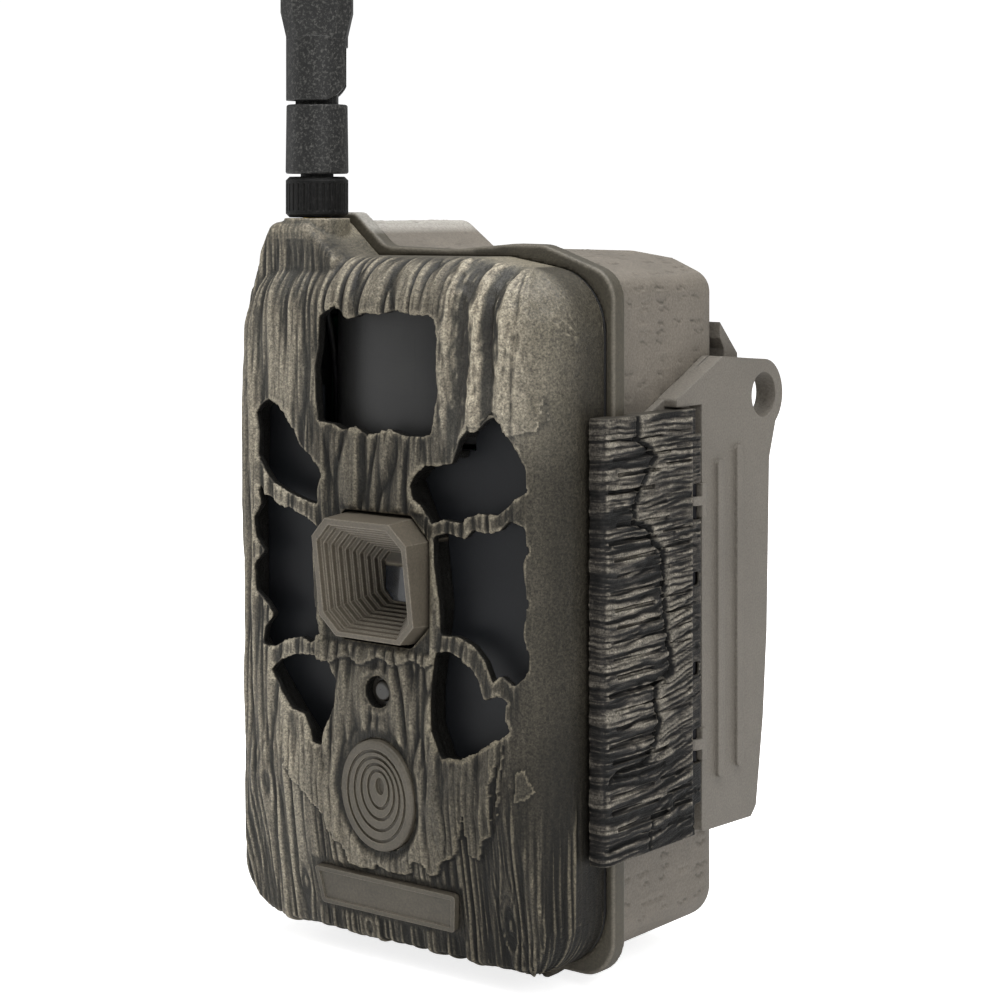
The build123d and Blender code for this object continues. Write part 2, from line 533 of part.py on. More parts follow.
with BuildPart() as front_housing:
    prism(at_y(SEAM_Y), SHELL, SEAM_Y - FACE_Y)
    fillet(front_housing.faces().sort_by(Axis.Y)[0].edges(), EDGE_R)
    # receding chin
    chin_y = FACE_Y + CHIN_SLOPE * (CHIN_TOP_Z - CHIN_CUT_Z)
    prism(at_x(-60), [(FACE_Y, CHIN_TOP_Z), (-45.0, CHIN_TOP_Z), (-45.0, CHIN_CUT_Z),
                      (chin_y, CHIN_CUT_Z)], 120, CUT)
    add(shoulder.part)
    rod_z(*ANTENNA_XY, 7.0, 147.0, PAD_Z)
    # hollow
    prism(at_y(SEAM_Y), inset(SHELL, SHELL_T), SEAM_Y - WALL_Y, CUT)
    prism(at_y(SEAM_Y), TOWER_HOLLOW, 12.4, CUT)
    # openings: recesses behind, ragged edges and thin webs in the outer skin
    for back in (LEFT_BACK, RIGHT_BACK):
        prism(at_y(WALL_Y + 0.5), back, 4.3, CUT)
    for edge in (PIR_EDGE, LEFT_UP, LEFT_MID, LEFT_LOW, RIGHT_UP, RIGHT_MID, RIGHT_LOW):
        prism(at_y(-34.0), edge, 10, CUT)
    block(-20.7, 20.7, -35.3, -31.0, 105.2, 135.6, CUT)
    # seat of the lens hood, light pipe hole, badge and name plate seats
    prism(at_y(HOOD_REAR_Y), octagon(13.45, 13.25, 4.6, HOOD_Z), 12, CUT)
    rod_y(0, LIGHT_PIPE_Z, 3.25, -45, -30, CUT)
    with BuildSketch(badge_plane):
        Ellipse(9.7, 11.5)
    extrude(amount=8, mode=CUT)
    prism(chin_plane.offset(-0.5), PLATE, 6, CUT)
    # screw posts
    for x, z in PANEL_SCREWS:
        rod_y(x, z, 3.0, -33.0, -21.0)
        rod_y(x, z, PANEL_SCREW_R, -29.5, -20.0, CUT)
    # antenna connector hole
    rod_z(*ANTENNA_XY, 3.15, 140, 155, CUT)
    rod_z(*ANTENNA_XY, 4.4, 143, 147.6, CUT)
    # hinge knuckles
    for z in (34.4, 88.0):
        rod_z(HINGE_X, HINGE_Y, HINGE_KNUCKLE_R, z, z + 11.6)
        block(HINGE_X, -42.4, -21.6, -19.1, z, z + 11.6)
    rod_z(HINGE_X, HINGE_Y, PIN_R + PIN_CLEARANCE, 30, 104, CUT)
save(front_housing.part, "front_housing")

# ---- lens hood: stepped funnel with a forward leaning brow
HOOD_LIP_Y = -42.75
HOOD_TILT = atan2(3.5, 24.3)
HOOD_STEPS, HOOD_STEP = 10, 1.3
with BuildPart() as lens_hood:
    with BuildSketch(leaning_plane(HOOD_LIP_Y, HOOD_Z, HOOD_TILT)):
        outline_face(octagon(12.5, 12.3, 4.0))
    with BuildSketch(at_y(HOOD_REAR_Y)):
        outline_face(octagon(13.35, 13.15, 4.5, HOOD_Z))
    loft(ruled=True)
    for k in range(HOOD_STEPS):
        depth = (k + 1) * HOOD_STEP
        prism(leaning_plane(HOOD_LIP_Y + depth, HOOD_Z - 0.05 * k, HOOD_TILT),
              octagon(11.3 - 0.744 * k, 11.1 - 0.655 * k, 3.6 - 0.16 * k), depth + 6, CUT)
save(lens_hood.part, "lens_hood")

with BuildPart() as lens_window:
    prism(at_y(-28.9), octagon(7.0, 7.5, 2.2, LENS_Z), 1.1)
save(lens_window.part, "lens_window")

with BuildPart() as pir_lens:
    with BuildSketch(at_z(105.9)):
        with BuildLine():
            ThreePointArc((-20.0, -27.48), (0, -34.5), (20.0, -27.48))
            Line((20.0, -27.48), (20.0, -26.19))
            ThreePointArc((20.0, -26.19), (0, -33.5), (-20.0, -26.19))
            Line((-20.0, -26.19), (-20.0, -27.48))
        make_face()
    extrude(amount=29.0)
save(pir_lens.part, "pir_lens")

# left and right filter outlines, (x, z)
FILTERS = (
    [(-38.6, 39.5), (-9, 39.5), (-9, 64.55), (-13.85, 69.4), (-13.85, 105.0), (-20.9, 105.0),
     (-20.9, 116), (-38.6, 116)],
    [(11.5, 41), (38.6, 41), (38.6, 115), (20.9, 115), (20.9, 105.0), (7, 105.0), (7, 91.95),
     (9.3, 91.95), (13.85, 87.4), (13.85, 63.6), (11.5, 63.6)])
with BuildPart() as ir_filters:
    for corners in FILTERS:
        prism(at_y(-30.5), corners, 1.5)
save(ir_filters.part, "ir_filters")

with BuildPart() as status_light_pipe:
    rod_y(0, LIGHT_PIPE_Z, 3.2, -35.6, -33.0)
    rod_y(0, LIGHT_PIPE_Z, 2.2, -36.6, -26.0)
    fillet(status_light_pipe.faces().sort_by(Axis.Y)[0].edges(), 0.8)
save(status_light_pipe.part, "status_light_pipe")

RING_WIDTH = 0.7
RINGS = ((7.9, 9.6), (6.3, 7.8), (4.7, 6.0), (3.1, 4.2))     # half width, half height
with BuildPart() as knot_badge:
    with BuildSketch(badge_plane):
        Ellipse(9.6, 11.4)
    extrude(amount=3.0)
    fillet(knot_badge.faces().sort_by(Axis.Y)[0].edges(), 0.6)
    # growth rings around an off-centre heart
    for k, (half_width, half_height) in enumerate(RINGS):
        with BuildSketch(badge_plane.offset(2.4)):
            with Locations((0.25 * k, 0.5 * k)):
                Ellipse(half_width, half_height)
                Ellipse(half_width - RING_WIDTH, half_height - RING_WIDTH, mode=CUT)
        extrude(amount=2.0, mode=CUT)
    with BuildSketch(badge_plane.offset(2.2)):
        with Locations((1.1, 2.2)):
            Ellipse(1.2, 1.8)
    extrude(amount=2.0, mode=CUT)
save(knot_badge.part, "knot_badge")

with BuildPart() as name_plate:
    prism(chin_plane.offset(-0.5), inset(PLATE, 0.05), 1.6)
    prism(chin_plane.offset(0.75), inset(PLATE, 1.0), 1.0, CUT)
save(name_plate.part, "name_plate")

# ---- electronics behind the face
LED_XS = [19.0 + 6.5 * i for i in range(3)]
LED_ZS = [47.0 + 7.6 * i for i in range(8)]
LED_TIP_Y = -30.3
PIR_Z = 120.0
with BuildPart() as ir_led_board:
    with BuildSketch(at_y(-23.6)):
        with Locations((0, 72.5)):
            RectangleRounded(76, 64, 2)
        with Locations((0, LENS_Z)):
            Rectangle(24, 24, mode=CUT)
        for side in (-1, 1):
            with Locations((side * 35.5, 43.0)):
                Circle(1.2, mode=CUT)
    extrude(amount=BOARD_T)
save(ir_led_board.part, "ir_led_board")

with BuildPart() as ir_leds:
    for side in (-1, 1):
        for x in LED_XS:
            for z in LED_ZS:
                rod_y(side * x, z, 2.7, -26.2, -25.2)
                rod_y(side * x, z, 2.3, LED_TIP_Y, -26.1)
    tips = ir_leds.edges().filter_by(GeomType.CIRCLE)
    fillet(tips.filter_by(lambda edge: abs(edge.center().Y - LED_TIP_Y) < 0.01), 1.6)
save(ir_leds.part, "ir_leds")

with BuildPart() as pir_sensor:
    rod_y(0, PIR_Z, 4.6, -21.6, MAIN_BOARD_FRONT_Y)
    fillet(pir_sensor.faces().sort_by(Axis.Y)[0].edges(), 0.7)
    rod_y(0, PIR_Z, 5.1, -17.7, MAIN_BOARD_FRONT_Y)
    block(-2.2, 2.2, -21.9, -21.3, PIR_Z - 1.4, PIR_Z + 1.4, CUT)
save(pir_sensor.part, "pir_sensor")

ELEMENT_R, ELEMENT_REAR_Y = 4.6, -25.2
with BuildPart() as lens_barrel:
    rod_y(0, LENS_Z, 7.0, -26.8, -24.2)
    fillet(lens_barrel.faces().sort_by(Axis.Y)[0].edges(), 0.6)
    rod_y(0, LENS_Z, 5.5, -24.3, -21.6)
    rod_y(0, LENS_Z, ELEMENT_R, -27.5, ELEMENT_REAR_Y, CUT)
    rod_y(0, LENS_Z, 2.6, -27.5, -20.0, CUT)
save(lens_barrel.part, "lens_barrel")

with BuildPart() as lens_element:
    rod_y(0, LENS_Z, ELEMENT_R, -26.4, ELEMENT_REAR_Y)
    fillet(lens_element.faces().sort_by(Axis.Y)[0].edges(), 1.0)
save(lens_element.part, "lens_element")

with BuildPart() as lens_holder:
    block(-9, 9, -23.4, -19.2, LENS_Z - 8, LENS_Z + 8)
    fillet(lens_holder.edges().filter_by(Axis.Y), 1.5)
    rod_y(0, LENS_Z, 5.55, -24, -21.5, CUT)
    # sensor pocket and the slot for the shuttle
    block(-4.4, 4.4, -22, -19.0, LENS_Z - 3.9, LENS_Z + 3.9, CUT)
    block(-10, 10, -21.05, -20.3, LENS_Z - 3.9, LENS_Z + 3.9, CUT)
save(lens_holder.part, "lens_holder")

with BuildPart() as ir_cut_shuttle:
    block(-8.9, 3.1, -20.95, -20.4, LENS_Z - 3.8, LENS_Z + 3.8)
    for x in (-5.9, 0.0):
        block(x - 2.4, x + 2.4, -21.2, -20.6, LENS_Z - 2.6, LENS_Z + 2.6, CUT)
save(ir_cut_shuttle.part, "ir_cut_shuttle")

with BuildPart() as image_sensor:
    block(-4, 4, -19.9, -19.2, LENS_Z - 3.5, LENS_Z + 3.5)
save(image_sensor.part, "image_sensor")

with BuildPart() as sensor_board:
    with BuildSketch(at_y(-18.2)):
        with Locations((0, LENS_Z)):
            RectangleRounded(22, 22, 1.5)
            with GridLocations(18, 18, 2, 2):
                Circle(1.0, mode=CUT)
    extrude(amount=1.0)
save(sensor_board.part, "sensor_board")

with BuildPart() as main_board:
    with BuildSketch(at_y(MAIN_BOARD_Y)):
        with Locations((0, 75.0)):
            RectangleRounded(62, 110, 2)
            with GridLocations(54, 102, 2, 2):
                Circle(1.5, mode=CUT)
    extrude(amount=BOARD_T)
save(main_board.part, "main_board")

with BuildPart() as modem_module:
    block(-26, 2, -19.8, MAIN_BOARD_FRONT_Y, 25, 55)
    fillet(modem_module.edges().filter_by(Axis.Y), 0.8)
    block(-25, 1, -20.0, -19.6, 53, 53.8, CUT)
save(modem_module.part, "modem_module")

JACK_Z = 146.2                        # bottom of the antenna jack
ANTENNA_X, ANTENNA_Y = ANTENNA_XY
with BuildPart() as antenna_coax:
    with BuildLine() as coax_path:
        Spline((ANTENNA_X, ANTENNA_Y, JACK_Z), (ANTENNA_X, -25.4, 138.5),
               (ANTENNA_X, -21.6, 126.0), (ANTENNA_X, -21.4, 90.0), (-24.0, -20.65, 52.0),
               tangents=((0, 0, -1), (0.1, 0, -1)))
    with BuildSketch(Plane(origin=coax_path.line @ 0, z_dir=coax_path.line % 0)):
        Circle(0.75)
    sweep()
save(antenna_coax.part, "antenna_coax")

with BuildPart() as sma_jack:
    rod_z(*ANTENNA_XY, 3.1, JACK_Z, 157.4)
    with BuildSketch(at_z(JACK_Z)):
        with Locations(ANTENNA_XY):
            RegularPolygon(4.2, 6)
    extrude(amount=1.35)
    rod_z(*ANTENNA_XY, 0.75, 145.0, 148.0, CUT)
    rod_z(*ANTENNA_XY, 2.1, 152.0, 158.0, CUT)
    rod_z(*ANTENNA_XY, 0.5, 151.5, 156.0)
save(sma_jack.part, "sma_jack")

# ---- inner panel with display, keys, switch, speaker and card
PANEL_X, PANEL_Z0, PANEL_Z1 = 33.0, 16.0, 132.0   # half width and ends of the raised box
PANEL_WALL = 1.5
PAD_KEY_Z = 72
KEYS = {"key_up": (0, 81.5), "key_down": (0, 62.5), "key_left": (-9.5, PAD_KEY_Z),
        "key_right": (9.5, PAD_KEY_Z), "key_ok": (0, PAD_KEY_Z), "key_menu": (-23, PAD_KEY_Z)}
ARROW_ANGLES = {"key_up": 90, "key_down": -90, "key_left": 180, "key_right": 0}
KEY_R = 3.6
DISPLAY_Z = 110.0
SWITCH_X, SWITCH_Z = -17.0, 46.0
SPEAKER_X, SPEAKER_Z = 22.0, 60.0
with BuildPart() as inner_panel:
    prism(at_y(-19.4), inset(SHELL, SHELL_T + 0.25), 1.6)
    block(-PANEL_X, PANEL_X, -19.5, -10.0, PANEL_Z0, PANEL_Z1)
    box_edges = inner_panel.edges().filter_by(Axis.Y)
    fillet(box_edges.filter_by(
        lambda edge: edge.center().Y > -19.3 and abs(edge.center().X) < 34), 3.0)
    fillet(inner_panel.faces().sort_by(Axis.Y)[-1].edges(), 1.2)
    block(-PANEL_X + PANEL_WALL, PANEL_X - PANEL_WALL, -22.0, -11.5,
          PANEL_Z0 + PANEL_WALL, PANEL_Z1 - PANEL_WALL, CUT)
    # display window, key holes, switch slot and speaker holes
    with BuildSketch(at_y(-9.0)):
        with Locations((0, DISPLAY_Z)):
            RectangleRounded(44, 30, 1.5)
        for x, z in KEYS.values():
            with Locations((x, z)):
                Circle(KEY_R + 0.15)
        with Locations((SWITCH_X, SWITCH_Z)):
            RectangleRounded(9.6, 3.6, 0.4)
        with Locations((SPEAKER_X, SPEAKER_Z)):
            with PolarLocations(3.6, 6):
                Circle(0.7)
            Circle(0.7)
    extrude(amount=4, mode=CUT)
    # shallow dish around the keys, then the card slot
    rod_y(0, PAD_KEY_Z, 16.0, -10.4, -9.5, CUT)
    block(30, 35, -15.15, -12.65, 19.1, 43.7, CUT)
    for x, z in PANEL_SCREWS:
        rod_y(x, z, 1.5, -22, -18, CUT)
save(inner_panel.part, "inner_panel")

with BuildPart() as panel_screws:
    for x, z in PANEL_SCREWS:
        rod_y(x, z, 2.6, -19.4, -17.8)
        rod_y(x, z, PANEL_SCREW_R, -29.0, -19.3)
        cross_recess(x, z, y=-17.7, width=3.0, slot=0.7, depth=0.9)
save(panel_screws.part, "panel_screws")

with BuildPart() as lcd_module:
    block(-24, 24, -15.55, -12.0, DISPLAY_Z - 17.5, DISPLAY_Z + 17.5)
    block(-21, 21, -12.4, -11.0, DISPLAY_Z - 14, DISPLAY_Z + 14, CUT)
save(lcd_module.part, "lcd_module")

with BuildPart() as lcd_window:
    with BuildSketch(at_y(-10.2)):
        with Locations((0, DISPLAY_Z)):
            RectangleRounded(43.9, 29.9, 1.5)
    extrude(amount=1.3)
save(lcd_window.part, "lcd_window")

with BuildPart() as speaker:
    rod_y(SPEAKER_X, SPEAKER_Z, 7.0, MAIN_BOARD_Y, -12.3)
    rod_y(SPEAKER_X, SPEAKER_Z, 5.6, -12.9, -12.0, CUT)
    rod_y(SPEAKER_X, SPEAKER_Z, 2.4, -13.2, -12.5)
save(speaker.part, "speaker")

with BuildPart() as tact_switches:
    for x, z in KEYS.values():
        block(x - 2.2, x + 2.2, MAIN_BOARD_Y, -14.1, z - 2.2, z + 2.2)
        rod_y(x, z, 1.2, -14.2, -13.7)
save(tact_switches.part, "tact_switches")

with BuildPart() as switch_body:
    block(SWITCH_X - 7, SWITCH_X + 7, MAIN_BOARD_Y, -13.5, SWITCH_Z - 3.0, SWITCH_Z + 3.0)
save(switch_body.part, "switch_body")

with BuildPart() as power_switch:
    block(SWITCH_X - 4.5, SWITCH_X + 4.5, -13.4, -12.3, SWITCH_Z - 2.6, SWITCH_Z + 2.6)
    block(SWITCH_X - 2.0, SWITCH_X + 2.0, -12.4, -9.0, SWITCH_Z - 1.6, SWITCH_Z + 1.6)
    # grip grooves
    for x in (SWITCH_X - 1.1, SWITCH_X, SWITCH_X + 1.1):
        block(x - 0.2, x + 0.2, -9.4, -8.5, SWITCH_Z - 1.7, SWITCH_Z + 1.7, CUT)
save(power_switch.part, "power_switch")

with BuildPart() as sd_socket:
    block(2, 30, MAIN_BOARD_Y, -12.1, 18.2, 44.6)
    block(3.2, 31, -15.1, -12.7, 19.2, 43.6, CUT)
    block(12, 24, -12.9, -12.0, 25, 38, CUT)
save(sd_socket.part, "sd_socket")

with BuildPart() as sd_card:
    prism(at_y(-12.85), [(3.4, 19.4), (34.6, 19.4), (34.6, 43.4), (7.4, 43.4), (3.4, 39.4)], 2.1)
    fillet(sd_card.edges().filter_by(Axis.Y).filter_by(lambda edge: edge.center().X > 30), 1.0)
    block(31.6, 33.0, -13.2, -12.5, 21, 42, CUT)
save(sd_card.part, "sd_card")

for key, (x, z) in KEYS.items():
    with BuildPart() as key_part:
        rod_y(x, z, KEY_R + 0.55, -13.2, -12.3)
        rod_y(x, z, KEY_R, -12.4, -9.4)
        fillet(key_part.faces().sort_by(Axis.Y)[-1].edges(), 0.5)
        # symbol: a dot, three bars or an arrow
        if key == "key_ok":
            rod_y(x, z, 1.4, -9.7, -9.0, CUT)
        elif key == "key_menu":
            for bar_z in (z - 1.2, z, z + 1.2):
                block(x - 1.6, x + 1.6, -9.7, -9.0, bar_z - 0.2, bar_z + 0.2, CUT)
        else:
            with BuildSketch(at_y(-9.0)):
                with Locations(Location((x, z, 0), (0, 0, ARROW_ANGLES[key]))):
                    RegularPolygon(1.7, 3)
            extrude(amount=0.7, mode=CUT)
    save(key_part.part, key)

with BuildPart() as door_pads:
    for z in PLUNGER_ZS:
        block(PLUNGER_X - 1.8, PLUNGER_X + 1.8, -19.4, SEAM_Y, z - 2.2, z + 2.2)
save(door_pads.part, "door_pads")

# ================================================================ ANTENNA
ELBOW_Z0, ELBOW_Z1 = 160.4, 175.1
TILT_Z = 182.5                        # antenna tilt pin
TILT_ANGLE = radians(38.0)            # direction of the tilt pin about the antenna axis
TILT_PIN_R = 1.25
BLADE_Z0, BLADE_Z1 = 176.0, 340.0
PADDLE_START = 18.5                   # full section of the blade, above BLADE_Z0

with BuildPart() as antenna_nut:
    rod_z(*ANTENNA_XY, 6.65, PAD_Z + 0.15, 159.8)
    chamfer(antenna_nut.edges().filter_by(GeomType.CIRCLE), 0.8)
    # grip flutes
    with BuildSketch(at_z(152.6)):
        with Locations(ANTENNA_XY):
            with PolarLocations(6.75, 30):
                Rectangle(0.75, 0.5)
    extrude(amount=5.8, mode=CUT)
    # bore, groove for the elbow collar, neck opening
    rod_z(*ANTENNA_XY, 3.16, 150, 156.9, CUT)
    rod_z(*ANTENNA_XY, 4.56, 156.8, 158.5, CUT)
    rod_z(*ANTENNA_XY, 3.56, 158.4, 160.5, CUT)
save(antenna_nut.part, "antenna_nut")

# plane square to the tilt pin: local x = side the antenna folds to, local y = up
fold_side = (cos(TILT_ANGLE), sin(TILT_ANGLE), 0)
fold = Plane(origin=(*ANTENNA_XY, TILT_Z), x_dir=fold_side,
             z_dir=(sin(TILT_ANGLE), -cos(TILT_ANGLE), 0))

with BuildPart() as antenna_elbow:
    rod_z(*ANTENNA_XY, 4.5, 157.55, 158.3)
    rod_z(*ANTENNA_XY, 3.5, 158.2, 160.6)
    with BuildSketch(at_z(ELBOW_Z0)):
        with Locations(ANTENNA_XY):
            Circle(6.7)
    with BuildSketch(at_z(ELBOW_Z1)):
        with Locations(ANTENNA_XY):
            Circle(6.5)
    loft()
    rims = antenna_elbow.edges().filter_by(GeomType.CIRCLE)
    fillet(rims.filter_by(lambda edge: edge.radius > 6.2), 0.5)
    # tongue of the knuckle
    with BuildSketch(fold):
        with Locations((0, -4.0)):
            Rectangle(8.8, 8.0)
        Circle(4.4)
    extrude(amount=2.45, both=True)
    with BuildSketch(fold):
        Circle(TILT_PIN_R + PIN_CLEARANCE)
    extrude(amount=5, both=True, mode=CUT)
save(antenna_elbow.part, "antenna_elbow")

blade_base = Plane(origin=(*ANTENNA_XY, BLADE_Z0), x_dir=fold_side, z_dir=(0, 0, 1))
PADDLE = octagon(7.55, 5.6, 2.8)

with BuildPart() as antenna_blade:
    with BuildSketch(blade_base):
        Circle(6.6)
    extrude(amount=13.5)
    with BuildSketch(blade_base.offset(12.8)):
        outline_face(octagon(6.2, 6.0, 2.6))
    with BuildSketch(blade_base.offset(PADDLE_START + 0.1)):
        outline_face(PADDLE)
    loft(ruled=True)
    with BuildSketch(blade_base.offset(PADDLE_START)):
        outline_face(PADDLE)
    extrude(amount=BLADE_Z1 - BLADE_Z0 - PADDLE_START)
    fillet(antenna_blade.faces().sort_by(Axis.Z)[-1].edges(), 2.2)
    # slot for the knuckle, open toward the fold side
    with BuildSketch(fold):
        Circle(4.75)
        with Locations((0, -4.5)):
            Rectangle(9.5, 9.0)
        with Locations((4.5, 0)):
            Rectangle(9.0, 9.5)
        with Locations((4.5, -4.5)):
            Rectangle(9.0, 9.0)
    extrude(amount=2.55, both=True, mode=CUT)
    # lower corner relieved on the fold side so the cheeks clear the elbow
    with BuildSketch(fold):
        with Locations((5, -5)):
            Rectangle(10, 10)
        Circle(7.0, mode=CUT)
    extrude(amount=8, both=True, mode=CUT)
    with BuildSketch(fold):
        Circle(TILT_PIN_R)
    extrude(amount=6.2, both=True, mode=CUT)
save(antenna_blade.part, "antenna_blade")

with BuildPart() as antenna_tilt_pin:
    with BuildSketch(fold):
        Circle(TILT_PIN_R)
    extrude(amount=6.1, both=True)
save(antenna_tilt_pin.part, "antenna_tilt_pin")
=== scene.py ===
import json
import math
import bpy
import bmesh
import numpy as np
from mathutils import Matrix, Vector


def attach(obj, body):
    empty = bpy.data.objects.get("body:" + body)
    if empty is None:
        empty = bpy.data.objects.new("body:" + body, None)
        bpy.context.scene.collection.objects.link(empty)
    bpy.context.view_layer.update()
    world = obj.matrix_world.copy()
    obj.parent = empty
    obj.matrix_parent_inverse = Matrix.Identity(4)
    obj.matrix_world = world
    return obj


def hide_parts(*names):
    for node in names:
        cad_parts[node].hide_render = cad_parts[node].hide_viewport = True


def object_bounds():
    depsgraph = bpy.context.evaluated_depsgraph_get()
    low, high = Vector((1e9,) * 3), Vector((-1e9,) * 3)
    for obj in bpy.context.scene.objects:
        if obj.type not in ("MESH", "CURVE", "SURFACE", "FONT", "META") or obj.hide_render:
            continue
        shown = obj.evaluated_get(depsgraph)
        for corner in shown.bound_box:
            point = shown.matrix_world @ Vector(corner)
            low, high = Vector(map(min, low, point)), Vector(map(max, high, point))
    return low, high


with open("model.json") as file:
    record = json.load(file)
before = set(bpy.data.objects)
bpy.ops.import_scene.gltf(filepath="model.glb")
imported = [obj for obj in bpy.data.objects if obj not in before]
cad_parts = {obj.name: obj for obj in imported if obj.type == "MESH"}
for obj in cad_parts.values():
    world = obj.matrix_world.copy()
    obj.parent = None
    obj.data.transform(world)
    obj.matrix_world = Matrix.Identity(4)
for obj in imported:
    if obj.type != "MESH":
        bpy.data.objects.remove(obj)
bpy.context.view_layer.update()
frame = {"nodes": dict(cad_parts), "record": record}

NODES = frame["nodes"]
NODE_BODY = {n: b for b, ns in frame["record"]["behaviour"]["bodies"].items() for n in ns}
MM = 0.001
scene = bpy.context.scene


# ================================================================ noise on arrays
def _hash(ix, iy, seed):
    n = (ix * 374761393 + iy * 668265263 + seed * 974634777) & 0x7FFFFFFF
    n = ((n ^ (n >> 13)) * 1274126177) & 0x7FFFFFFF
    n = n ^ (n >> 16)
    return (n & 0xFFFF) / 65535.0


def perlin(u, v, seed=0):
    iu, iv = np.floor(u).astype(np.int64), np.floor(v).astype(np.int64)
    fu, fv = u - iu, v - iv

    def corner(dx, dy):
        a = _hash(iu + dx, iv + dy, seed) * (2 * np.pi)
        return np.cos(a) * (fu - dx) + np.sin(a) * (fv - dy)

    su = fu * fu * fu * (fu * (fu * 6 - 15) + 10)
    sv = fv * fv * fv * (fv * (fv * 6 - 15) + 10)
    a = corner(0, 0) * (1 - su) + corner(1, 0) * su
    b = corner(0, 1) * (1 - su) + corner(1, 1) * su
    return (a * (1 - sv) + b * sv) * 1.5


def fbm(u, v, seed=0, octaves=3):
    s, a, out = 1.0, 1.0, 0.0
    for k in range(octaves):
        out = out + a * perlin(u * s, v * s, seed + 17 * k)
        s, a = s * 2.03, a * 0.5
    return out


def billow(u, v, seed=0, sharp=0.8):
    """Rounded ridges parted by narrow valleys, 0 in a valley and about 1 on a ridge."""
    return np.minimum(np.abs(perlin(u, v, seed)) * 1.9, 1.0) ** sharp


def step(a, b, x):
    t = np.clip((x - a) / (b - a), 0, 1)
    return t * t * (3 - 2 * t)


def curve(x, table):
    xs, ys = zip(*table)
    return np.interp(x, xs, ys)


def segment_distance(px, pz, points, closed=False):
    best = np.full(px.shape, 1e9)
    n = len(points)
    for i in range(n if closed else n - 1):
        ax, az = points[i]
        bx, bz = points[(i + 1) % n]
        dx, dz = bx - ax, bz - az
        t = np.clip(((px - ax) * dx + (pz - az) * dz) / (dx * dx + dz * dz + 1e-12), 0, 1)
        d = np.hypot(px - (ax + t * dx), pz - (az + t * dz))
        best = np.minimum(best, d)
    return best


def inside(px, pz, points):
    hit = np.zeros(px.shape, bool)
    n = len(points)
    for i in range(n):
        ax, az = points[i]
        bx, bz = points[(i + 1) % n]
        if az == bz:
            continue
        crosses = (az > pz) != (bz > pz)
        hit ^= crosses & (px < (bx - ax) * (pz - az) / (bz - az) + ax)
    return hit


# ================================================================ mesh helpers
def remeshed(node, name, voxel_mm):
    """A new object with an even, dense copy of a CAD node's surface."""
    me = NODES[node].data.copy()
    bm = bmesh.new()
    bm.from_mesh(me)
    bmesh.ops.remove_doubles(bm, verts=bm.verts, dist=2e-6)
    bm.to_mesh(me)
    bm.free()
    ob = bpy.data.objects.new(name + "_src", me)
    scene.collection.objects.link(ob)
    mod = ob.modifiers.new("remesh", "REMESH")
    mod.mode = "VOXEL"
    mod.voxel_size = voxel_mm * MM
    mod.adaptivity = 0.0
    bpy.context.view_layer.update()
    dg = bpy.context.evaluated_depsgraph_get()
    dense = bpy.data.meshes.new_from_object(ob.evaluated_get(dg))
    dense.name = name
    bpy.data.objects.remove(ob)
    dense.materials.clear()
    new = bpy.data.objects.new(name, dense)
    scene.collection.objects.link(new)
    return new


def verts_of(me):
    co = np.zeros(len(me.vertices) * 3, np.float32)
    me.vertices.foreach_get("co", co)
    return co.reshape(-1, 3).astype(float)


def normals_of(me):
    no = np.zeros(len(me.vertices) * 3, np.float32)
    me.vertex_normals.foreach_get("vector", no)
    return no.reshape(-1, 3).astype(float)


def edges_of(me):
    ed = np.zeros(len(me.edges) * 2, np.int32)
    me.edges.foreach_get("vertices", ed)
    return ed.reshape(-1, 2)


def set_verts(me, co):
    me.vertices.foreach_set("co", co.astype(np.float32).ravel())
    me.update()


def neighbour_mean(values, ed, n):
    out = np.zeros((n,) + values.shape[1:])
    cnt = np.zeros(n)
    for a, b in ((0, 1), (1, 0)):
        if values.ndim == 1:
            out += np.bincount(ed[:, a], weights=values[ed[:, b]], minlength=n)
        else:
            for k in range(values.shape[1]):
                out[:, k] += np.bincount(ed[:, a], weights=values[ed[:, b], k], minlength=n)
        cnt += np.bincount(ed[:, a], minlength=n)
    cnt = np.maximum(cnt, 1)
    return out / (cnt if values.ndim == 1 else cnt[:, None])


def convexity(me, rounds=2):
    """About -1 in creases, 0 on flats and +1 on outer edges."""
    co, ed = verts_of(me), edges_of(me)
    n = len(co)
    length = np.linalg.norm(co[ed[:, 0]] - co[ed[:, 1]], axis=1).mean()
    lap = neighbour_mean(co, ed, n) - co
    c = -(lap * normals_of(me)).sum(1) / length
    for _ in range(rounds):
        c = 0.5 * c + 0.5 * neighbour_mean(c, ed, n)
    return np.clip(c * 4, -1, 1)


def attr(me, name, values):
    kind = "FLOAT" if values.ndim == 1 else "FLOAT_VECTOR"
    a = me.attributes.get(name) or me.attributes.new(name, kind, "POINT")
    a.data.foreach_set("value" if kind == "FLOAT" else "vector", values.astype(np.float32).ravel())


def smooth(me):
    me.polygons.foreach_set("use_smooth", np.ones(len(me.polygons), bool))
    me.update()


# ================================================================ material helpers
def srgb(r, g, b):
    def f(c):
        c = c / 255.0
        return c / 12.92 if c <= 0.04045 else ((c + 0.055) / 1.055) ** 2.4
    return (f(r), f(g), f(b), 1.0)


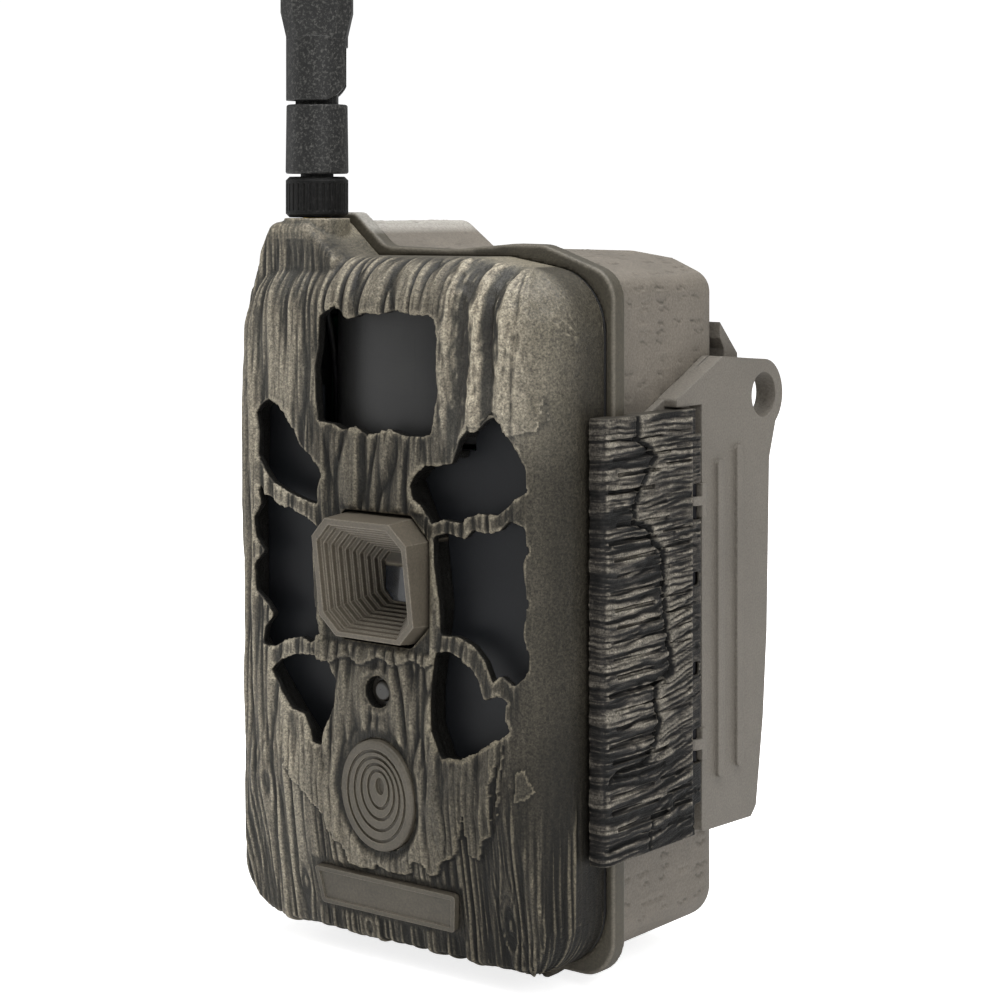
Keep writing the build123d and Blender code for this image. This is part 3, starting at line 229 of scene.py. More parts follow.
class Graph:
    def __init__(self, name):
        self.mat = bpy.data.materials.new(name)
        self.mat.use_nodes = True
        self.nt = self.mat.node_tree
        self.nt.nodes.clear()
        self.out = self.add("ShaderNodeOutputMaterial")
        self.bsdf = self.add("ShaderNodeBsdfPrincipled")
        self.nt.links.new(self.bsdf.outputs[0], self.out.inputs[0])
        self.coord = self.add("ShaderNodeTexCoord").outputs["Object"]

    def add(self, kind, **props):
        n = self.nt.nodes.new(kind)
        for k, v in props.items():
            setattr(n, k, v)
        return n

    def put(self, socket, value):
        if isinstance(value, bpy.types.NodeSocket):
            self.nt.links.new(value, socket)
        elif value is not None:
            if isinstance(value, (tuple, list)) and len(value) == 4 and len(socket.default_value) == 3:
                value = value[:3]
            socket.default_value = value

    def set(self, name, value):
        self.put(self.bsdf.inputs[name], value)

    def attribute(self, name, vector=False):
        n = self.add("ShaderNodeAttribute", attribute_name=name)
        return n.outputs["Vector" if vector else "Fac"]

    def scaled(self, vec, s):
        n = self.add("ShaderNodeVectorMath", operation="MULTIPLY")
        self.put(n.inputs[0], vec)
        n.inputs[1].default_value = s
        return n.outputs[0]

    def noise(self, scale, detail=3.0, rough=0.55, vec=None, distort=0.0):
        n = self.add("ShaderNodeTexNoise")
        self.put(n.inputs["Vector"], self.coord if vec is None else vec)
        n.inputs["Scale"].default_value = scale
        n.inputs["Detail"].default_value = detail
        n.inputs["Roughness"].default_value = rough
        n.inputs["Distortion"].default_value = distort
        return n.outputs["Fac"]

    def voronoi(self, scale, vec=None, feature="F1", out="Distance"):
        n = self.add("ShaderNodeTexVoronoi", feature=feature)
        self.put(n.inputs["Vector"], self.coord if vec is None else vec)
        n.inputs["Scale"].default_value = scale
        return n.outputs[out]

    def ramp(self, fac, stops, interp="LINEAR"):
        n = self.add("ShaderNodeValToRGB")
        n.color_ramp.interpolation = interp
        el = n.color_ramp.elements
        while len(el) > len(stops):
            el.remove(el[-1])
        while len(el) < len(stops):
            el.new(1.0)
        for e, (p, c) in zip(el, stops):
            e.position = p
            e.color = c if isinstance(c, (tuple, list)) else (c, c, c, 1)
        self.put(n.inputs[0], fac)
        return n.outputs[0]

    def mix(self, fac, a, b, blend="MIX"):
        n = self.add("ShaderNodeMix", data_type="RGBA", blend_type=blend)
        n.clamp_factor = True
        self.put(n.inputs[0], fac)
        self.put(n.inputs[6], a)
        self.put(n.inputs[7], b)
        return n.outputs[2]

    def math(self, op, a, b=None, c=None, clamp=False):
        n = self.add("ShaderNodeMath", operation=op)
        n.use_clamp = clamp
        self.put(n.inputs[0], a)
        if b is not None:
            self.put(n.inputs[1], b)
        if c is not None:
            self.put(n.inputs[2], c)
        return n.outputs[0]

    def remap(self, x, a, b, c=0.0, d=1.0):
        n = self.add("ShaderNodeMapRange")
        n.clamp = True
        self.put(n.inputs[0], x)
        for i, v in enumerate((a, b, c, d)):
            n.inputs[1 + i].default_value = v
        return n.outputs[0]

    def bump(self, height, dist_mm, strength=1.0, normal=None):
        n = self.add("ShaderNodeBump")
        n.inputs["Strength"].default_value = strength
        n.inputs["Distance"].default_value = dist_mm * MM
        self.put(n.inputs["Height"], height)
        if normal is not None:
            self.put(n.inputs["Normal"], normal)
        return n.outputs[0]

    def edges(self, radius_mm=0.35):
        """(rounded normal, 0..1 mask of the part's edges)."""
        bev = self.add("ShaderNodeBevel")
        bev.samples = 4
        bev.inputs["Radius"].default_value = radius_mm * MM
        geo = self.add("ShaderNodeNewGeometry")
        dot = self.add("ShaderNodeVectorMath", operation="DOT_PRODUCT")
        self.put(dot.inputs[0], bev.outputs[0])
        self.put(dot.inputs[1], geo.outputs["Normal"])
        mask = self.remap(dot.outputs["Value"], 0.995, 0.80, 0.0, 1.0)
        return bev.outputs[0], mask

    def grain(self, c, fac, low, high):
        """Darken and lighten a colour with the stipple."""
        n = self.add("ShaderNodeCombineXYZ")
        k = self.remap(fac, 0.30, 0.70, low, high)
        for i in range(3):
            self.put(n.inputs[i], k)
        return self.mix(1.0, c, n.outputs[0], "MULTIPLY")

    def axes(self, vec=None):
        n = self.add("ShaderNodeSeparateXYZ")
        self.put(n.inputs[0], self.coord if vec is None else vec)
        return n.outputs[0], n.outputs[1], n.outputs[2]


def tint(c, k):
    return (min(c[0] * k, 1), min(c[1] * k, 1), min(c[2] * k, 1), 1.0)


def moulded(name, col, rough=0.55, grain=0.45, bump=0.05, vary=0.10, wear=0.35, edge=0.35, spec=0.45, blotch=14.0, dirt=0.15):
    """Moulded plastic: stippled, uneven in tone, a little lighter on its edges."""
    g = Graph(name)
    big = g.noise(1000.0 / blotch, 4.0, 0.6)
    fine = g.noise(1000.0 / grain, 2.0, 0.6)
    mid = g.noise(1000.0 / (grain * 5), 3.0, 0.6)
    c = g.mix(g.remap(big, 0.3, 0.7), tint(col, 1 - vary), tint(col, 1 + vary))
    c = g.mix(g.remap(mid, 0.25, 0.75, 0.0, dirt), c, tint(col, 0.55))
    c = g.grain(c, fine, 0.80, 1.24)
    nrm = None
    if edge > 0:
        nrm, mask = g.edges(edge)
        rub = g.math("MULTIPLY", mask, g.remap(mid, 0.3, 0.7, wear * 0.4, wear))
        c = g.mix(rub, c, tint(col, 1.9))
    g.set("Base Color", c)
    g.set("Roughness", g.remap(fine, 0.2, 0.8, rough - 0.08, rough + 0.10))
    g.set("Specular IOR Level", spec)
    h = g.math("ADD", fine, g.math("MULTIPLY", mid, 0.5))
    g.set("Normal", g.bump(h, bump, 1.0, nrm))
    return g.mat


def metal(name, col, rough=0.3, brush=(1, 1, 12), scale=250.0, wear=0.3):
    g = Graph(name)
    v = g.scaled(g.coord, brush)
    lines = g.noise(scale * 8, 2.0, 0.5, v)
    big = g.noise(scale, 3.0, 0.6)
    c = g.mix(g.remap(big, 0.3, 0.7), tint(col, 0.82), tint(col, 1.1))
    g.set("Base Color", c)
    g.set("Metallic", 1.0)
    g.set("Roughness", g.remap(lines, 0.3, 0.7, rough - 0.08, rough + 0.14))
    nrm, mask = g.edges(0.12)
    g.set("Normal", g.bump(lines, 0.01, 1.0, nrm))
    return g.mat


# ================================================================ bark face of the door
R = 11.5
PIR = [(-15.9, 131.0), (-13.4, 132.6), (-11.3, 133.4), (-9.6, 131.6), (-6.6, 130.8), (-3.3, 132.4), (1.2, 131.9),
       (5.7, 133.0), (8.5, 132.2), (13.4, 132.3), (15.3, 130.9), (16.0, 127.6), (15.4, 124.5), (15.9, 117.6),
       (15.3, 113.4), (14.2, 108.3), (11.2, 107.6), (7.5, 107.5), (3.4, 108.5), (-0.5, 107.6), (-2.7, 106.9),
       (-5.4, 108.4), (-9.6, 107.9), (-11.9, 108.9), (-16.3, 109.2), (-16.9, 113.5), (-17.3, 120.3), (-16.4, 124.7)]
SHELL = [(-43, 15), (-42, 9), (-39, 5), (-35, 2.7), (-30, 2), (30.5, 2), (35, 2.9), (39, 5.4), (42, 9.4), (43, 14.5),
         (43, 128.5), (42, 133.5), (39, 137.8), (34.5, 140.6), (30.2, 142.1), (20, 143.4), (-32, 143), (-36.8, 140),
         (-39.5, 136), (-42.3, 131), (-43, 126)]
# ragged lower edges of the bark plates, left to right; the plate is the side above the line
PLATE_EMBLEM = [(-25.6, 41.0), (-25.0, 37.1), (-22.6, 34.3), (-19.4, 32.2), (-17.9, 30.2), (-15.3, 28.5), (-14.4, 26.9),
                (-13.5, 24.8), (-12.6, 23.3), (-11.5, 23.2), (-10.0, 21.1), (-9.2, 18.9), (-6.9, 18.6), (-3.2, 18.2),
                (-2.0, 19.8), (0.8, 19.0), (3.6, 18.5), (7.2, 19.5), (8.3, 22.4), (11.0, 22.1), (12.4, 19.8),
                (14.6, 20.6), (15.4, 23.2), (18.6, 24.6), (20.2, 26.1), (20.8, 28.7), (22.1, 32.0), (22.6, 34.4),
                (23.4, 26.2), (25.6, 25.2), (26.9, 29.7), (29.2, 30.9), (31.3, 35.4), (30.3, 40.9), (29.5, 42.9),
                (30.8, 45.5), (32.5, 49.0)]
PLATE_HOOD = [(-17.5, 62.4), (-16.1, 61.0), (-12.7, 59.9), (-8.6, 61.8), (-4.0, 60.5), (0.8, 62.6), (4.8, 61.2),
              (9.3, 62.9), (12.6, 61.7), (15.5, 63.4)]
PLATE_TOP_R = [(21.0, 104.0), (23.2, 110.6), (26.2, 110.4), (28.5, 113.6), (31.2, 113.2), (32.0, 111.8), (33.5, 109.0),
               (35.6, 109.6), (38.6, 110.2), (40.2, 112.3), (39.7, 116.7)]
CHIP = [(35.2, 44.1), (34.9, 38.4), (36.5, 38.6), (38.5, 40.5), (36.7, 44.8)]


def plate(x, z, line, rise, run, seed):
    """Height of a bark scale whose ragged lower edge is line: full at the edge, melting away above it."""
    xs = np.array([p[0] for p in line])
    zs = np.array([p[1] for p in line])
    order = np.argsort(xs, kind="stable")
    jag = 0.35 * perlin(x / 0.9, z / 1.4, seed)
    zc = np.interp(x + jag, xs[order], zs[order])
    span = step(xs.min() - 1.0, xs.min() + 1.5, x) * (1 - step(xs.max() - 1.5, xs.max() + 1.0, x))
    up = z - zc
    body = step(-0.25, 0.25, up) * np.exp(-np.clip(up, 0, None) / run)
    return rise * body * span, segment_distance(x, z, line)


def unrolled(x, y, z):
    """(u, v): how far along the skin a point is, sideways and upward."""
    yr = -38.0 + R
    ax = np.abs(x)
    phi = np.arctan2(np.clip(ax - (43 - R), 0, None), np.clip(yr - y, 1e-6, None))
    u = np.where(ax > 43 - R, np.sign(x) * ((43 - R) + R * phi + np.clip(y - yr, 0, None)), x)
    zt = 143.4 - 0.16 * np.clip(x - 20, 0, None) - R
    psi = np.arctan2(np.clip(z - zt, 0, None), np.clip(yr - y, 1e-6, None))
    v = np.where(z > zt, zt + R * psi + np.clip(y - yr, 0, None), z)
    zb = 2.0 + R
    chi = np.arctan2(np.clip(zb - z, 0, None), np.clip(yr - y, 1e-6, None))
    v = np.where(z < zb, zb - R * chi - np.clip(y - yr, 0, None), v)
    return u, v


def around_knot(X, Z, a, b):
    """Sideways shift that leads the grain smoothly round an upright oval knot, with rings inside it."""
    r2 = (X / a) ** 2 + (Z / b) ** 2
    outside = X * (1 - 1 / np.maximum(r2, 1.0))
    within = 1.1 * a * (np.sqrt(r2) - 1)
    return np.where(r2 > 1, outside, within) - X


def wash_and_painted_light_tone(u, v, z):
    """Paint wash and painted light over the bark: pale on the upper right folds and along the top, deep below the
    motion window and on the right flank, where part of the darkening is painted shade.
    """
    k = np.full(u.shape, 0.67)
    k = k + 0.56 * step(13, 21, u) * (1 - step(27, 36, u)) * step(98, 116, v)
    k = k + 0.38 * step(27, 36, u) * (1 - step(41, 52, u)) * step(98, 116, v)
    k = k + 0.09 * (1 - step(-16, -10, u)) * step(104, 118, v)
    k = k + 0.24 * (1 - step(-24, -14, u)) - 0.10 * (1 - step(-40, -34, u)) * (1 - step(100, 116, v))
    k = k + 0.16 * step(-20, -13, u) * (1 - step(12, 18, u)) * step(128, 138, v)
    k = k - 0.15 * step(10, 20, u) * (1 - step(40, 62, v))
    k = k + 0.08 * (1 - step(-4, 6, u)) * (1 - step(44, 64, v))
    k = k - 0.13 * step(38, 44, u) * (1 - step(112, 136, v))
    k = k + 0.10 * np.exp(-((u / 13.0) ** 2 + ((v - 33) / 14.0) ** 2))
    # painted light: the top of the door is made lighter
    k = k + 0.30 * step(145.5, 148.5, z)
    return np.clip(k, 0.3, 1.35) ** 2.2


def bark_front(x, y, z):
    u, v = unrolled(x, y, z)
    # ---- masks
    top = step(103, 114, z)
    left = 1 - step(-22, -15, x)
    low = 1 - step(26, 46, z)
    smooth_right = step(33.5, 39.5, u) * (1 - 0.85 * low)
    mid = (1 - top) * (1 - low)

    warp = 2.2 * perlin(u / 21, v / 34, 3) + 0.8 * perlin(u / 8, v / 16, 4)
    uw = u + warp
    # broad folds
    folds = 1.25 * (billow(uw / 6.2, v / 46, 11, 0.75) - 0.45)
    # folds listed one by one right of the motion window, running up over the brow, crumpled across
    uf = u + 0.5 * perlin(u / 9, v / 18, 21) - 0.030 * (v - 120)
    laid = curve(uf, [(14, 0.2), (16.2, 0.45), (17.6, 0.55), (19.0, 0.0), (20.6, -0.95), (22.6, -0.75), (24.4, 0.45),
                      (26.0, 0.35), (27.4, -0.9), (28.6, -1.35), (29.8, -0.5), (31.6, 0.75), (33.4, 0.55),
                      (34.2, 0.25), (35.2, 0.75), (36.8, 0.45), (38.4, -0.15), (41, 0.0), (60, 0)])
    laid = laid + 0.34 * perlin((u + 0.4 * v) / 2.6, v / 4.2, 22) + 0.22 * perlin((u - 0.3 * v) / 1.5, v / 2.6, 23)
    hand = step(14.5, 17.0, u) * top
    brow = step(-17.5, -14.5, x) * (1 - step(14.5, 17, x)) * top
    brow_folds = 1.35 * (billow((u + 0.6 * warp) / 3.4, v / 30, 31, 0.8) - 0.45)
    left_folds = 1.30 * (billow((u + 0.5 * warp) / 5.2, v / 70, 41, 0.75) - 0.42) + 0.50 * (billow((u + 0.4 * warp) / 1.9, v / 34, 42) - 0.5)
    centre = 1.20 * (billow((u + 0.5 * warp) / 4.2, v / 22, 51) - 0.45)

    # fine flowing grain of the lower part, parting round five knots
    flow = u + 1.1 * perlin(u / 19, v / 30, 61)
    for kx, kz, ka, kb in ((31.5, 12.5, 2.3, 7.5), (-31.0, 33.0, 1.7, 6.5), (-6.0, 3.5, 1.9, 3.6), (15.8, 31.0, 1.5, 6.0),
                           (-23.0, 12.0, 1.4, 5.0)):
        flow = flow + around_knot(u - kx, v - kz, ka, kb)
    flow = u + (flow - u) * (0.25 + 0.75 * low)
    grain_low = 0.50 * (billow(flow / 1.55, v / 70, 62, 0.9) - 0.5) + 0.62 * (billow(flow / 4.4, v / 80, 63, 0.8) - 0.45)

    w_left = left * (1 - low)
    h = hand * laid + brow * brow_folds
    rest = np.clip(1 - hand - brow, 0, 1)
    h = h + rest * (w_left * left_folds + low * grain_low + np.clip(1 - w_left - low, 0, 1) * (
        step(-22, -12, x) * (1 - step(12, 18, x)) * centre
        + (step(12, 18, x)) * 0.55 * (billow(uw / 3.6, v / 30, 71) - 0.45)))
    soften = 1 - 0.9 * smooth_right * np.clip(1 - hand * 0.55, 0, 1)
    h = h * soften
    # slow swells of the plain right flank
    h = h + smooth_right * 0.35 * fbm(u / 16, v / 46, 81, 2)
    # medium streaks everywhere on the bark
    fs = flow + 0.3 * warp * (1 - low)
    streak = 0.22 * perlin(fs / 1.25, v / (13 + 14 * low), 91) + 0.11 * perlin(fs / 0.85, v / (6.5 + 8 * low), 92)
    h = h + streak * (1 - 0.75 * smooth_right)

    # plates
    p1, d1 = plate(x, z, PLATE_EMBLEM, 0.95, 16.0, 101)
    p2, d2 = plate(x, z, PLATE_HOOD, 0.75, 9.0, 102)
    p3, d3 = plate(x, z, PLATE_TOP_R, 0.45, 9.0, 103)
    front = step(-30.5, -34.0, y)
    h = h + front * (p1 + p2 + p3)
    chip = inside(x, z, CHIP)
    h = h + front * np.where(chip, 0.55, 0.0)

    # ---- fades
    fade = 1 - step(-26.0, -21.0, y) * step(20, 36, np.maximum(np.abs(x), 0) + 0 * z)      # toward the seam at the sides
    topfade = 1 - step(-33.5, -25.5, y) * step(128, 134, z)                                  # smooth crown near the seam
    sidefade = 1 - step(-23.5, -20.5, y)
    h = h * topfade * sidefade * (0.25 + 0.75 * fade)
    # antenna pad, name plate, badge and lens hood sit on quiet ground
    pad = np.hypot(x + 27.0, y + 26.3)
    h = h * np.where(z > 146.6, step(8.0, 11.0, pad), 1.0)
    h = h * (1 - 0.6 * step(143.5, 146, z))
    plate_q = np.maximum(np.abs(x) - 19.4, np.abs(z - 13.1) - 4.6)
    h = np.where(plate_q < 1.6, h * step(-0.2, 1.6, plate_q) - 0.12 * (1 - step(-0.2, 1.6, plate_q)), h)
    badge = np.hypot(x / 9.9, (z - 34.5) / 11.7)
    h = np.where(badge < 1.22, h * step(1.02, 1.22, badge) - 0.25 * (1 - step(1.02, 1.22, badge)), h)
    hood = np.maximum(np.abs(x) - 13.6, np.abs(z - 78.4) - 13.5)
    h = np.where(hood < 1.2, np.minimum(h, h * step(-0.1, 1.2, hood)), h)
    led = np.hypot(x, z - 55.3)
    lip = np.exp(-((led - 4.3) / 0.7) ** 2)
    h = h * step(3.4, 5.6, led) + 0.35 * lip * (np.abs(y + 37) < 3)
    hinge = step(-41.6, -42.6, x) * step(-25.5, -24.0, y)
    h = h * (1 - hinge)
    latch_side = step(41.5, 42.5, x) * step(-28.5, -26.0, y)
    h = np.where(latch_side > 0, np.minimum(h * (1 - 0.8 * latch_side), 0.15), h)
    h = np.clip(h, -1.55, 1.45)

    # painted shadow: a dark line just under the ragged lower edge of each bark plate
    plate_edge_shadow = np.exp(-(d1 / 0.5) ** 2) * (p1 < 0.35) + np.exp(-(d2 / 0.5) ** 2) * (p2 < 0.3) + 0.7 * np.exp(-(d3 / 0.5) ** 2) * (p3 < 0.3)
    return h, fs, v, smooth_right, np.clip(plate_edge_shadow * front, 0, 1), low, wash_and_painted_light_tone(u, v, z)


def build_front():
    voxel = 0.43
    ob = remeshed("front_housing", "bark_face", voxel)
    me = ob.data
    co = verts_of(me)
    no = normals_of(me)
    x, y, z = (co / MM).T
    h, u, v, plain, edge, low, wash_and_painted_light = bark_front(x, y, z)
    # outward direction of the plain outer skin
    ax = np.clip(np.abs(x) - (43 - R), 0, None) * np.sign(x)
    zt = 143.4 - 0.16 * np.clip(x - 20, 0, None) - R
    az = np.where(z > zt, z - zt, np.where(z < 2 + R, z - (2 + R), 0.0))
    ay = np.clip((-38 + R) - y, 0, None) * -1.0
    ay = np.where((np.abs(ax) + np.abs(az)) == 0, -1.0, ay)
    out = np.stack([ax, ay, az], 1)
    rad = np.linalg.norm(out, axis=1)
    out = out / np.maximum(rad, 1e-6)[:, None]
    facing = (no * out).sum(1)
    # nearness to the outer surface: rounding radius, front plane or receding chin
    chin_y = -38.0 + np.clip(35.0 - z, 0, None) * 4.8 / 29.0
    flat = (np.abs(ax) + np.abs(az)) == 0
    deep = np.where(flat, y - chin_y, R - rad)
    deep = np.where(~flat & (z < 35), np.minimum(deep, np.abs(y - chin_y)), deep)
    tower = (z > 140.5) & (x < -13)
    deep = np.where(tower, 0.0, deep)
    w = step(0.25, 0.75, facing) * (1 - step(0.9, 1.5, deep))
    w = np.where(tower, step(0.3, 0.7, np.maximum(-no[:, 1], 0)) * step(-24, -28, y), w)
    ring = np.hypot(x + 47.5, y + 19.0) < 3.4
    w = np.where(ring, 0, w)
    # the hinge side keeps a hair of running clearance
    slack = 0.14 * step(-40.0, -41.0, x) * step(-25.0, -23.0, y)
    co = co + no * (h * w - slack)[:, None] * MM
    set_verts(me, co)
    smooth(me)
    conv = convexity(me, 1)
    ed = edges_of(me)
    outer = w.copy()
    for _ in range(2):
        outer = np.maximum(outer, 0.6 * outer + 0.4 * neighbour_mean(outer, ed, len(co)))
    attr(me, "flow", np.stack([u, v, y], 1))
    attr(me, "relief", np.clip(0.5 + h * 0.42, 0, 1))
    attr(me, "convex", conv)
    attr(me, "outer", np.clip(np.where(tower, 1.0, np.where(y > -33.6, 1.0, outer) * (facing > 0.05)), 0, 1))
    # paint wash and painted light and shade, stored per vertex
    attr(me, "wash_and_painted_light", wash_and_painted_light)
    attr(me, "plain", np.clip(np.maximum(plain, step(-31, -25.5, y) * step(130, 135, z)), 0, 1))
    # painted shadow under the bark plates, kept in the attribute shared with the latch crack
    attr(me, "crack_and_plate_shadow", edge)
    attr(me, "low", low)
    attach(ob, "front_door")
    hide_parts("front_housing")
    return ob


def bark_material():
    g = Graph("bark_shell")
    flow = g.attribute("flow", True)
    relief, convex = g.attribute("relief"), g.attribute("convex")
    outer, plain, crack_and_plate_shadow, low = g.attribute("outer"), g.attribute("plain"), g.attribute("crack_and_plate_shadow"), g.attribute("low")
    streak = g.noise(1.0, 4.0, 0.62, g.scaled(flow, (0.9, 0.07, 0.2)))
    hair = g.noise(1.0, 3.0, 0.6, g.scaled(flow, (2.6, 0.22, 0.5)))
    blotch = g.noise(90.0, 4.0, 0.6)
    stipple = g.noise(2300.0, 2.0, 0.7)
    coarse = g.noise(1250.0, 2.0, 0.65)
    wash_and_painted_light = g.attribute("wash_and_painted_light")
    base, dark, light = srgb(102, 95, 82), srgb(24, 22, 18), srgb(146, 138, 121)
    # plain ground, mostly the right flank: darker paint there, partly painted shade of the latch
    plain_c = g.mix(g.remap(blotch, 0.3, 0.7), srgb(88, 83, 70), srgb(102, 96, 83))
    # paint: dark wash lies in the valleys, the crests are rubbed light
    t = g.math("ADD", relief, g.math("MULTIPLY", g.math("SUBTRACT", streak, 0.5), 0.75))
    t = g.math("ADD", t, g.math("MULTIPLY", convex, 0.28))
    t = g.math("ADD", t, g.math("MULTIPLY", g.math("SUBTRACT", hair, 0.5), 0.30))
    c = g.ramp(t, [(0.27, dark), (0.45, srgb(58, 55, 47)), (0.62, base), (0.86, light)])
    c = g.mix(g.remap(blotch, 0.35, 0.75, 0.0, 0.30), c, srgb(80, 77, 68))
    cool = g.noise(60.0, 2.0, 0.5)
    c = g.mix(g.remap(cool, 0.45, 0.75, 0.0, 0.25), c, srgb(88, 88, 82))
    c = g.mix(g.math("MULTIPLY", plain, 0.85), c, plain_c)
    # painted shadow under the lower edges of the bark plates
    c = g.mix(g.math("MULTIPLY", crack_and_plate_shadow, 0.85), c, srgb(26, 25, 21))
    # paint wash and painted light and shade: the bark colour is scaled by the wash tone
    grey = g.add("ShaderNodeCombineXYZ")
    for i in range(3):
        g.put(grey.inputs[i], wash_and_painted_light)
    c = g.mix(1.0, c, grey.outputs[0], "MULTIPLY")
    rim = g.remap(convex, 0.20, 0.70, 0.0, 0.80)
    c = g.mix(g.math("MULTIPLY", rim, 0.8), c, g.mix(g.remap(wash_and_painted_light, 0.25, 0.8), srgb(112, 105, 89), srgb(156, 148, 130)))
    c = g.grain(c, stipple, 0.42, 1.62)
    c = g.grain(c, coarse, 0.72, 1.26)
    # partly darker paint, partly painted shade: the inner walls of the openings and other faces off the outer skin go
    # near black
    c = g.mix(g.math("SUBTRACT", 1.0, outer, clamp=True), c, srgb(15, 14, 11))
    g.set("Base Color", c)
    g.set("Roughness", g.remap(stipple, 0.25, 0.75, 0.44, 0.66))
    g.set("Specular IOR Level", g.remap(wash_and_painted_light, 0.3, 0.9, 0.22, 0.42))
    h = g.math("ADD", g.math("MULTIPLY", stipple, 0.9), g.math("MULTIPLY", coarse, 1.1))
    h = g.math("ADD", h, g.math("MULTIPLY", g.math("MULTIPLY", hair, 1.5), g.math("SUBTRACT", 1.0, g.math("MULTIPLY", plain, 0.9))))
    g.set("Normal", g.bump(h, 0.19, 0.9))
    return g.mat


# ================================================================ rear shell with embossed ticks
def ticks(a, b, seed, pitch_a=6.6, pitch_b=2.15):
    """Short wavy grooves laid along a in loose stacks across b, with a faint lip under each."""
    out = np.zeros(a.shape)
    ia, ib = np.floor(a / pitch_a).astype(np.int64), np.floor(b / pitch_b).astype(np.int64)
    for da in (-1, 0, 1):
        for db in (-1, 0, 1):
            ca, cb = ia + da, ib + db
            r1, r2 = _hash(ca, cb, seed), _hash(ca, cb, seed + 1)
            r3, r4 = _hash(ca, cb, seed + 2), _hash(ca, cb, seed + 3)
            group = perlin(ca * 0.37 + 0.11, cb * 0.21 + 0.17, seed + 9)
            on = (r1 + 0.55 * group > 0.40)
            mid_a = (ca + 0.5 + 0.35 * (r2 - 0.5)) * pitch_a + 0.8 * (_hash(ca, cb * 0, seed + 5) - 0.5)
            mid_b = (cb + 0.5 + 0.5 * (r3 - 0.5)) * pitch_b
            half = 1.0 + 1.1 * r4
            wave = 0.22 * np.sin(a * (1.6 + r2) + 6.28 * r3) + 0.10 * (a - mid_a) * (r4 - 0.5)
            t = (b - mid_b - wave)
            w = step(half + 0.35, half - 0.25, np.abs(a - mid_a))
            dip = -0.27 * np.exp(-(t / 0.30) ** 2) + 0.12 * np.exp(-((t + 0.58) / 0.34) ** 2)
            out += np.where(on, dip * w * (0.6 + 0.5 * r1), 0.0)
    return out


def build_rear():
    voxel = 0.52
    ob = remeshed("rear_housing", "rear_shell", voxel)
    me = ob.data
    co, no = verts_of(me), normals_of(me)
    x, y, z = (co / MM).T
    nx, ny, nz = no.T
    side = step(0.8, 0.95, np.abs(nx)) * (np.abs(x) > 40.8)
    back = step(0.8, 0.95, ny) * (y > 22.6)
    over = step(0.75, 0.92, nz) * (z > 137)
    under = step(0.8, 0.95, -nz) * (z < 4.2) * (np.hypot(x, y) > 9) * (np.hypot(x - 24, y - 4) > 8.5)
    body = step(-13.6, -12.4, y)
    h = side * ticks(y + 40, z, 5) + back * ticks(x + 60, z, 25) + over * ticks(y + 60, x + 80, 45) + under * ticks(y + 60, x + 80, 65)
    swell = 0.10 * fbm(y / 9, z / 12, 75, 2) * side
    h = (h + swell) * body
    co = co + no * h[:, None] * MM
    set_verts(me, co)
    smooth(me)
    attr(me, "convex", convexity(me, 1))
    attr(me, "relief", np.clip(-h * 3.2, 0, 1))
    attr(me, "flange", 1 - step(-14.75, -14.35, y) * 1.0)
    inner = (np.abs(x) < 40.4) & (y < 21.9) & (z > 5.4) & (z < 141.3 + 0 * x)
    attr(me, "inner", inner.astype(float))
    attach(ob, "rear_body")
    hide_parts("rear_housing")
    return ob


def rear_material():
    g = Graph("tan_shell")
    relief, convex, flange = g.attribute("relief"), g.attribute("convex"), g.attribute("flange")
    blotch = g.noise(70.0, 4.0, 0.6)
    fine = g.noise(2100.0, 2.0, 0.65)
    mid = g.noise(520.0, 3.0, 0.6)
    streak = g.noise(1.0, 3.0, 0.6, g.scaled(g.coord, (60.0, 60.0, 620.0)))
    body = g.mix(g.remap(blotch, 0.3, 0.7), srgb(104, 98, 89), srgb(116, 109, 99))
    body = g.mix(g.remap(streak, 0.4, 0.75, 0.0, 0.32), body, srgb(92, 86, 77))
    rim = g.mix(g.remap(blotch, 0.3, 0.7), srgb(64, 60, 50), srgb(74, 69, 58))
    c = g.mix(flange, body, rim)
    # painted light: the top faces are lighter
    geo = g.add("ShaderNodeNewGeometry")
    nx, ny, nz = g.axes(geo.outputs["Normal"])
    pz = g.axes()[2]
    c = g.mix(g.math("MULTIPLY", g.remap(nz, 0.30, 0.90, 0.0, 0.60), g.remap(pz, 0.1475, 0.1490)), c, srgb(190, 187, 180))
    c = g.mix(g.remap(relief, 0.15, 0.9, 0.0, 0.62), c, srgb(58, 53, 46))
    c = g.mix(g.remap(convex, 0.3, 0.9, 0.0, 0.5), c, srgb(150, 143, 130))
    c = g.grain(c, fine, 0.74, 1.24)
    g.set("Base Color", c)
    g.set("Roughness", g.remap(fine, 0.25, 0.75, 0.50, 0.68))
    g.set("Specular IOR Level", 0.45)
    g.set("Normal", g.bump(g.math("ADD", fine, g.math("MULTIPLY", mid, 0.6)), 0.085, 0.9))
    return g.mat


# ================================================================ side latch
CRACK = [(-14.7, 112.6), (-14.7, 107.5), (-11.2, 106.0), (-8.4, 103.6), (-10.5, 101.2), (-14.0, 97.5), (-15.7, 93.9),
         (-15.7, 91.4), (-10.5, 89.6), (-9.1, 86.5), (-5.5, 84.5), (-5.2, 72.6), (-4.5, 68.5), (-2.3, 59.7),
         (-8.4, 58.0), (-8.7, 54.3), (-7.0, 50.6), (-8.7, 46.5), (-11.5, 43.0), (-19.8, 43.0), (-23.6, 41.5)]
CRACK_LOW = [(8.7, 34.4), (3.0, 34.2), (-0.9, 33.2), (-5.0, 32.8), (-8.7, 32.1), (-10.1, 27.6), (-10.4, 24.5)]


